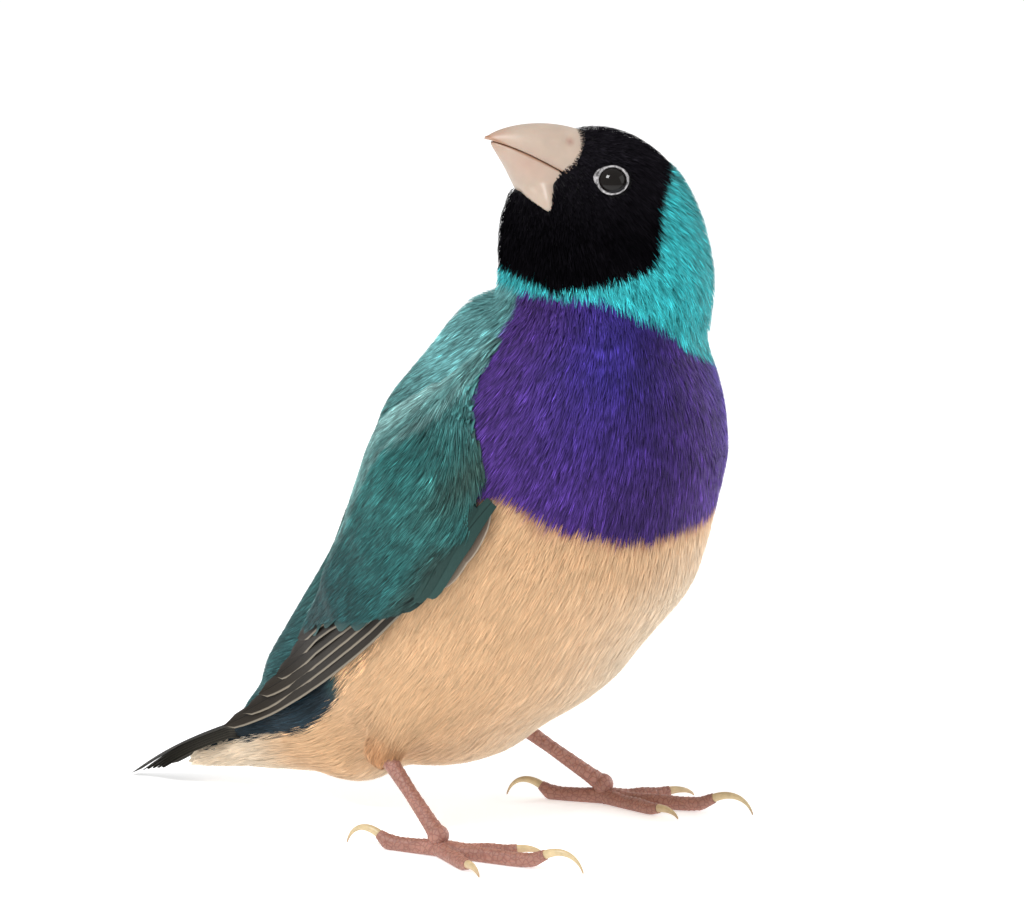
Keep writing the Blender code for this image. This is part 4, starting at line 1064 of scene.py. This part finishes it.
def bill_half(upper, rows=46, columns=25):
    """Rings of an arch from the mouth's edge over the ridge, or under the keel, and back along the mouth."""
    t = np.linspace(0, 1 if upper else 0.93, rows)
    ridge, mouth, keel, half = bill_outline(t)
    a = np.linspace(0, math.pi, columns)
    wide = (half if upper else 0.98 * half)[:, None] * np.cos(a)
    lift = np.sin(a)[None] ** (0.85 if upper else 0.65)
    rise = np.maximum(ridge - mouth, 0.4) if upper else -np.maximum(mouth - keel, 0.4)
    edge = 0.025 if upper else -0.025
    high = mouth[:, None] + edge + (rise - edge)[:, None] * lift
    inner = np.linspace(-1, 1, 7)[1:-1]
    wide = np.concatenate([wide, wide[:, -1:] * -inner[None]], 1)
    high = np.concatenate([high, np.repeat((mouth + edge * 0.6)[:, None], 5, 1)], 1)
    if upper:
        ahead, upward = t * 11.4 + BILL_ROOT - NOSTRIL[0], high - NOSTRIL[1]
        pit = (ahead[:, None] / 0.42) ** 2 + (upward / 0.36) ** 2
        wide = wide - np.sign(wide) * 0.5 * np.exp(-pit) * (np.abs(wide) > 1.0)
    forward = (BILL_ROOT + t * (BILL_TIP[0] - BILL_ROOT))[:, None, None]
    return on_head(forward, wide[..., None], high[..., None])


def jaw_bar(side, stops):
    """A branch of the lower jaw: a bar that tapers back and down and lies two thirds in the cheek."""
    forward, upward, radius = np.array([np.interp(np.linspace(0, 3, 13), range(4), row) for row in zip(*stops)])
    middle = on_head(forward[:, None], 0.0, upward[:, None])
    cheek = reach(middle, np.tile(side * SIDE, (13, 1)), 0.0, head_distance)
    depth = np.interp(radius, (1, 2), (0.6, 0.82)) * radius
    return bar(cheek - depth[:, None] * unit(slope(cheek, head_distance)), radius, 20)


def smoothed(mesh, turns):
    """Each point moved half way to the middle of its neighbours, several times."""
    work = bmesh.new()
    work.from_mesh(mesh)
    for _ in range(turns):
        bmesh.ops.smooth_vert(work, verts=work.verts, factor=0.5,
                              use_axis_x=True, use_axis_y=True, use_axis_z=True)
    work.to_mesh(mesh)
    work.free()
    return mesh


def add_rings(name, grid, material):
    """A tube of rings with its two ends closed by a fan to their middles."""
    rows, columns = grid.shape[:2]
    faces = grid_faces(rows, columns, True)
    points = np.concatenate([grid.reshape(-1, 3), grid[:1].mean(1), grid[-1:].mean(1)])
    j = np.arange(columns)
    k = (j + 1) % columns
    row = (rows - 1) * columns
    first = np.stack([np.full(columns, rows * columns), k, j], -1)
    last = np.stack([np.full(columns, rows * columns + 1), row + j, row + k], -1)
    mesh = bpy.data.meshes.new(name)
    mesh.from_pydata(place(points).tolist(), [], faces.tolist() + first.tolist() + last.tolist())
    work = bmesh.new()
    work.from_mesh(mesh)
    bmesh.ops.recalc_face_normals(work, faces=work.faces)
    work.to_mesh(mesh)
    work.free()
    mesh.shade_smooth()
    mesh.materials.append(material)
    obj = in_scene(name, mesh)
    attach(obj, "root")
    return obj


def head_axis(start, along):
    """Millimetres from the head's middle along one of its axes, as a value for a material."""
    middle = place(HEAD)
    shift = start.node("VectorMath", {"operation": "SUBTRACT"}, 0, i0=start, i1=tuple(middle))
    return start.node("VectorMath", {"operation": "DOT_PRODUCT"}, 1, i0=shift, i1=tuple(along / MM))


def near(value, middle, width):
    """1 where a value is at the middle, falling evenly to 0 at this width from it."""
    return (1 - (value - middle).sum("ABSOLUTE") / width).clamp()


# %% Horn
horn, horn_shader, start = new_material("pale bill horn", Roughness=0.38, Specular_IOR_Level=0.45,
                                        Subsurface_Weight=0.12, Subsurface_Scale=0.0012)
forward, upward = head_axis(start, BILL), head_axis(start, CROWN)
fibre = start.node("TexNoise", None, 0, Vector=start, Scale=900.0, Detail=4.0)
cloud = start.node("TexNoise", None, 0, Vector=start, Scale=260.0, Detail=2.0)
tipped = forward.ramp(14.0, 18.2) * 0.6
rosy = near(upward, 0.4, 2.6) * near(forward, 12.0, 4.5) * 0.4
gape = near(upward, 1.5, 0.28) * 0.75
nostril_pink = near(forward, 8.3, 0.7) * near(upward, 5.3, 0.7) * 0.9
base = (0.80 + cloud * 0.26 + fibre * 0.14).tinted((0.51, 0.40, 0.32))
colour = tipped.blend(base, (0.44, 0.235, 0.15, 1))
colour = rosy.blend(colour, (0.50, 0.28, 0.22, 1))
colour = gape.blend(colour, (0.34, 0.16, 0.08, 1))
colour = nostril_pink.blend(colour, (0.36, 0.20, 0.16, 1))
feed(colour, horn_shader, "Base Color")
feed(start.node("Bump", None, Strength=0.2, Distance=0.00004, Height=fibre + cloud), horn_shader, "Normal")
branches = [jaw_bar(side, stops) for stops in (JAW, JAW_EDGE) for side in (1, -1)]
lower = smoothed(remeshed(closed_mesh([bill_half(False), *branches]), 0.14 * MM), 45)
lower.shade_smooth()
lower.materials.clear()
lower.materials.append(horn)
bill_lower = in_scene("bill_lower_horn", lower)
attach(bill_lower, "root")
bill_upper = add_rings("bill_upper_horn", bill_half(True), horn)
for piece, node in ((bill_upper, "bill_upper"), (bill_lower, "bill_lower")):
    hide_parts(node)
print("bill", round(BILL_TIP[0] - BILL_ROOT, 1), "mm long")

# %% [markdown]
# ## Eyes and lids
# The eye is a dark wet ball, and its life is in what it reflects, so it stays almost black and very
# smooth. A thin ring of bare grey skin closes on it, wrinkled where it folds in front.

# %% Eyeballs and rings of skin
def globe(centre, look, radius, rows=28, columns=40):
    """A ball as rings of latitude about the way it looks."""
    first = unit(np.cross(look, (0.0, 0.0, 1.0)))
    second = np.cross(look, first)
    polar, turn = np.meshgrid(np.linspace(0.03, 3.11, rows), np.arange(columns) * 2 * math.pi / columns,
                              indexing="ij")
    ray = (np.cos(polar)[..., None] * look + (np.sin(polar) * np.cos(turn))[..., None] * first
           + (np.sin(polar) * np.sin(turn))[..., None] * second)
    return centre + radius * ray


def lid_ring(centre, look, rows=16, columns=96):
    """A lip round the eye: a rounded profile from the ball to the skin of the head, with folds in front."""
    first = unit(BILL - (BILL * look).sum() * look)
    second = np.cross(look, first)
    turn = np.arange(columns) * 2 * math.pi / columns
    s = np.linspace(0, 1, rows)[:, None]
    front = np.exp(-((np.minimum(turn, 2 * math.pi - turn)) / 0.6) ** 2)
    inner = EYE_RIM * (1 + 0.03 * np.cos(2 * turn))
    outer = LID_RIM + 0.50 * front
    radius = inner + s * (outer - inner)
    ray = np.cos(turn)[:, None] * first + np.sin(turn)[:, None] * second
    under = centre + outer[:, None] * ray - 3 * look
    skin_height = (reach(under, np.tile(look, (columns, 1)), -0.25, head_distance) - centre) @ look
    ball_height = np.sqrt(EYE_RADIUS ** 2 - inner ** 2) + 0.05
    height = ball_height + (np.maximum(skin_height, 1.2) - ball_height) * s ** 1.2
    bead = 0.05 * np.sin(turn * 26) * np.exp(-((s - 0.3) / 0.2) ** 2)
    folds = 0.06 * np.sin(s * 15 + 2 * np.sin(turn * 5)) * front * np.sin(math.pi * s)
    height = height + 0.32 * np.sin(math.pi * s ** 0.7) ** 0.8 + bead + folds
    return centre + look * height[..., None] + radius[..., None] * ray


eye_glass, eye_shader, start = new_material("wet dark eye", Roughness=0.03, Specular_IOR_Level=0.3)
iris = start.node("TexNoise", None, 0, Vector=start, Scale=700.0, Detail=3.0)
feed((0.4 + iris).tinted((0.006, 0.004, 0.003)), eye_shader, "Base Color")
lid_skin, lid_shader, start = new_material("bare lid skin", Roughness=0.5, Specular_IOR_Level=0.35)
wrinkle = start.node("TexNoise", None, 0, Vector=start, Scale=2200.0, Detail=3.0)
feed(((wrinkle - 0.32) * 3.2).clamp().tinted((0.55, 0.53, 0.54)), lid_shader, "Base Color")
feed(start.node("Bump", None, Strength=0.5, Distance=0.00004, Height=wrinkle), lid_shader, "Normal")
for side, title in ((1, "eye_left"), (-1, "eye_right")):
    centre, look = EYES[side]
    ball = add_rings(title + "_ball", globe(centre, look, EYE_RADIUS), eye_glass)
    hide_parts(title)
    ring_grid = lid_ring(centre, look)
    ring_faces = grid_faces(*ring_grid.shape[:2], True)[:, ::-1]
    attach(add_mesh(title + "_lid", ring_grid.reshape(-1, 3), ring_faces, lid_skin), "root")
print("lids close on", 2 * EYE_RIM, "mm of eye")

# %% [markdown]
# ## Legs, feet and claws
# The bare leg has a row of broad plates in front and small scales behind. On a tube, plates are a
# small step in the radius that repeats along the length, cut across by the round of the toe. Pads
# swell under each joint, and a claw is a cone bent down in a curve.

# %% Scaly tubes
def scaled(points, radii, rows, columns=28, plate=0.95, depth=0.075, front=(0, 0, 1.0)):
    """A smooth path with its radius, and on it plates: a saw of this depth for each length of a plate."""
    points, radii = np.asarray(points, float), np.asarray(radii, float)
    arc = np.concatenate([[0], np.cumsum(np.linalg.norm(np.diff(points, axis=0), axis=1))])
    where = np.linspace(0, arc[-1], rows)
    track = np.stack([np.interp(where, arc, points[:, k]) for k in range(3)], -1)
    radius = np.interp(where, arc, radii)
    kernel = np.hanning(max(3, rows // 9) | 1)
    kernel /= kernel.sum()
    ends = len(kernel) // 2
    track = np.stack([np.convolve(np.pad(track[:, k], ends, "edge"), kernel, "valid") for k in range(3)], -1)
    radius = np.convolve(np.pad(radius, ends, "edge"), kernel, "valid")
    way = unit(np.gradient(track, axis=0))
    first = unit(front - (way @ front)[:, None] * way)
    second = np.cross(way, first)
    angle = np.arange(columns) * 2 * math.pi / columns
    face = np.clip(np.cos(angle) + 0.35, 0, 1)[None]
    saw = (where / plate) % 1.0
    step = (saw ** 3 - 0.4)[:, None] * depth * face
    back = 0.5 * depth * np.sin(where * 9)[:, None] * np.sin(angle * 7)[None] * (1 - face)
    wide = radius[:, None] * (1 + step + back)
    return (track[:, None] + (wide * np.cos(angle))[..., None] * first[:, None]
            + (wide * np.sin(angle))[..., None] * second[:, None])


# Each toe: its turn from straight ahead, its joints as distance, height and radius, its claw's length.
TOES = {
    "back": (179.0, ((0.0, 1.15, 1.15), (3.2, 0.95, 1.0), (6.0, 0.9, 0.95), (7.6, 1.0, 1.05),
                     (9.0, 1.9, 0.66)), 5.6),
    "outer": (36.0, ((0.0, 1.15, 1.15), (3.4, 0.85, 0.9), (5.6, 0.9, 0.95), (7.6, 0.8, 0.85),
                     (9.4, 1.1, 0.66)), 4.0),
    "middle": (-2.0, ((0.0, 1.15, 1.25), (4.0, 0.9, 0.95), (7.6, 0.95, 1.0), (11.0, 0.9, 0.95),
                      (13.6, 1.1, 0.92), (15.6, 2.1, 0.68)), 6.2),
    "inner": (-27.0, ((0.0, 1.15, 1.15), (3.6, 0.85, 0.9), (6.4, 0.9, 0.95), (8.6, 0.8, 0.85),
                      (10.2, 1.1, 0.66)), 4.0),
}
FOOT_TURN = {1: -5.0, -1: 17.0}


def toe_way(degrees, mirror):
    """A level direction, turned from straight ahead towards the outside."""
    angle = math.radians(degrees + FOOT_TURN[mirror])
    return np.array([-math.sin(angle) * mirror, -math.cos(angle), 0.0])


def foot_grids(mirror):
    """The four toes, their joints flattened on the floor, and the ankle."""
    foot = ANKLE[mirror] * (1, 1, 0)
    grids = []
    for degrees, joints, _ in TOES.values():
        way = toe_way(degrees, mirror)
        grid = scaled([foot + way * d + np.array([0, 0, h]) for d, h, _ in joints], [r for *_, r in joints],
                      int(joints[-1][0] * 9), plate=0.8)
        grid[..., 2] = np.maximum(grid[..., 2], 0.02)
        grids.append(grid)
    rise = unit(HEEL[mirror] - ANKLE[mirror])
    grids.append(globe(ANKLE[mirror] + rise * 0.2, rise, 1.42, 16, 24))
    return grids


def claw_grid(mirror, name):
    """A cone along a curve that leaves the toe upwards and bends down to the floor."""
    degrees, joints, length = TOES[name]
    way = toe_way(degrees, mirror)
    last, height, radius = joints[-1]
    rise = math.atan2(height - joints[-2][1], last - joints[-2][0])
    s = np.linspace(0, 1, 26)
    out = length * 0.86 * np.sin(s * 1.35) / math.sin(1.35) - 0.15 * (1 - s)
    fall = math.tan(rise) * out * (1 - s) - (height - 0.2) * s ** 1.7
    points = ANKLE[mirror] * (1, 1, 0) + way * (last + out)[:, None]
    points[:, 2] = height + fall
    radii = radius * 0.86 * (1 - 0.86 * s ** 1.15)
    points[:, 2] = np.maximum(points[:, 2], radii + 0.02)
    return scaled(points, radii, 26, 16, plate=50.0, depth=0.0)


# %% Scaly skin and claw horn
scales, scale_shader, start = new_material("pink scaly skin", Roughness=0.46, Specular_IOR_Level=0.4,
                                           Subsurface_Weight=0.15, Subsurface_Scale=0.001)
cells = start.node("TexVoronoi", {"feature": "DISTANCE_TO_EDGE"}, 0, Vector=start, Scale=1500.0)
cloud = start.node("TexNoise", None, 0, Vector=start, Scale=420.0, Detail=3.0)
crease = 1 - cells.ramp(0.0, 0.16)
colour = (crease * 0.55).blend((0.75 + cloud * 0.5).tinted((0.40, 0.20, 0.155)), (0.20, 0.07, 0.052, 1))
feed(colour, scale_shader, "Base Color")
relief = start.node("Bump", None, Strength=0.5, Distance=0.00006, Height=cells.ramp(0.0, 0.2))
feed(relief, scale_shader, "Normal")
claw_horn, claw_shader, start = new_material("pale claw horn", Roughness=0.32, Specular_IOR_Level=0.45)
streak = start.node("TexNoise", None, 0, Vector=start, Scale=1200.0, Detail=3.0)
low = start.node("SeparateXYZ", None, 2, Vector=start)
streaked = (0.7 + streak * 0.6).tinted((0.66, 0.52, 0.30))
feed((1 - low.ramp(0.0002, 0.0016)).blend(streaked, (0.50, 0.34, 0.20, 1)), claw_shader, "Base Color")

# %% Both legs
for side_name, mirror in (("right", 1), ("left", -1)):
    rise = unit(HEEL[mirror] - ANKLE[mirror])
    start_low, start_top = ANKLE[mirror] + rise * 0.6, HEEL[mirror] + rise * 1.2
    leg_line = [start_low + (start_top - start_low) * s for s in (0, 0.12, 0.5, 0.85, 1)]
    shank = add_rings("shank_" + side_name, scaled(leg_line, (1.2, 1.05, 0.92, 1.05, 1.35), 150, plate=1.35,
                                                   front=(0, -1.0, 0.3)), scales)
    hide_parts("leg_" + side_name)
    toes = [add_rings(f"toes_{side_name}_{k}", grid, scales) for k, grid in enumerate(foot_grids(mirror))]
    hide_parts("foot_" + side_name)
    for name in TOES:
        claw = add_rings(f"claw_horn_{side_name}_{name}", claw_grid(mirror, name), claw_horn)
        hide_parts(f"claw_{side_name}_{name}")
print("feet stand at", round(float(ANKLE[1][0]), 1), "and", round(float(ANKLE[-1][0]), 1), "mm")

# %% [markdown]
# ## Floor, light and camera
# The photo has a white ground and large soft lights. One big panel up to the left makes the square
# glint in the eye, a weaker one fills the right, and the pale surroundings do the rest.

# %% The studio
floor_mesh = bpy.data.meshes.new("floor")
FLOOR = 3.0                  # metres from the middle to each edge
floor_mesh.from_pydata([(-FLOOR, -FLOOR, 0), (FLOOR, -FLOOR, 0), (FLOOR, FLOOR, 0), (-FLOOR, FLOOR, 0)],
                       [], [(0, 1, 2, 3)])
paper, paper_shader, start = new_material("pale floor", Roughness=0.9, Emission_Color=(1, 1, 1, 1),
                                          Emission_Strength=0.48)
tooth = start.node("TexNoise", None, 0, Vector=start, Scale=300.0)
feed((0.99 + tooth * 0.02).tinted((0.88, 0.88, 0.88)), paper_shader, "Base Color")
floor_mesh.materials.append(paper)
floor = in_scene("floor", floor_mesh)


def stand(obj, x, y, z, spot):
    """Puts an object at a place with its own three axes along these directions."""
    pose = np.eye(4)
    pose[:3] = np.stack([x, y, z, spot], 1)
    obj.matrix_world = Matrix(pose.tolist())


# %% The camera
TURN, RISE = math.radians(-55.0), math.radians(10.0)
FOCAL, WIDTH = 5320.0, 1024              # the camera's length and the picture's width, in pixels
right = np.array([math.cos(TURN), math.sin(TURN), 0.0])
back = np.array([math.sin(TURN) * math.cos(RISE), -math.cos(TURN) * math.cos(RISE), math.sin(RISE)])
up = np.cross(back, right)
eye_point = np.array([-0.5583, -0.3898, 0.1698]) - ORIGIN * MM
camera_data = bpy.data.cameras.new("camera")
camera_data.sensor_width, camera_data.lens = 36.0, 36.0 * FOCAL / WIDTH
camera_data.clip_start = 0.01
camera = in_scene("camera", camera_data)
stand(camera, right, up, back, eye_point)
bpy.context.scene.camera = camera
print("camera", round(float(np.linalg.norm(eye_point)), 2), "m away")


# %% The lights
def panel(name, from_camera, size, power):
    """A square light at a place given right, up and back from the camera's view of the bird."""
    data = bpy.data.lights.new(name, "AREA")
    data.shape, data.size, data.energy = "SQUARE", size, power
    middle = np.array([0, 0, 0.05])
    spot = middle + right * from_camera[0] + up * from_camera[1] + back * from_camera[2]
    z = unit(spot - middle)
    x = unit(np.cross((0, 0, 1.0), z))
    stand(in_scene(name, data), x, np.cross(z, x), z, spot)


panel("key", (-0.45, 0.62, 0.55), 0.26, 5.2)
panel("fill", (0.75, 0.35, 0.35), 0.60, 1.2)
panel("behind", (0.75, 0.35, -0.45), 0.60, 4.2)
world = bpy.data.worlds.new("studio")
world.use_nodes = True
world.node_tree.nodes["Background"].inputs[0].default_value = (1.0, 1.0, 1.0, 1.0)
world.node_tree.nodes["Background"].inputs[1].default_value = 0.55
bpy.context.scene.world = world
bpy.context.scene.view_settings.view_transform = "Standard"
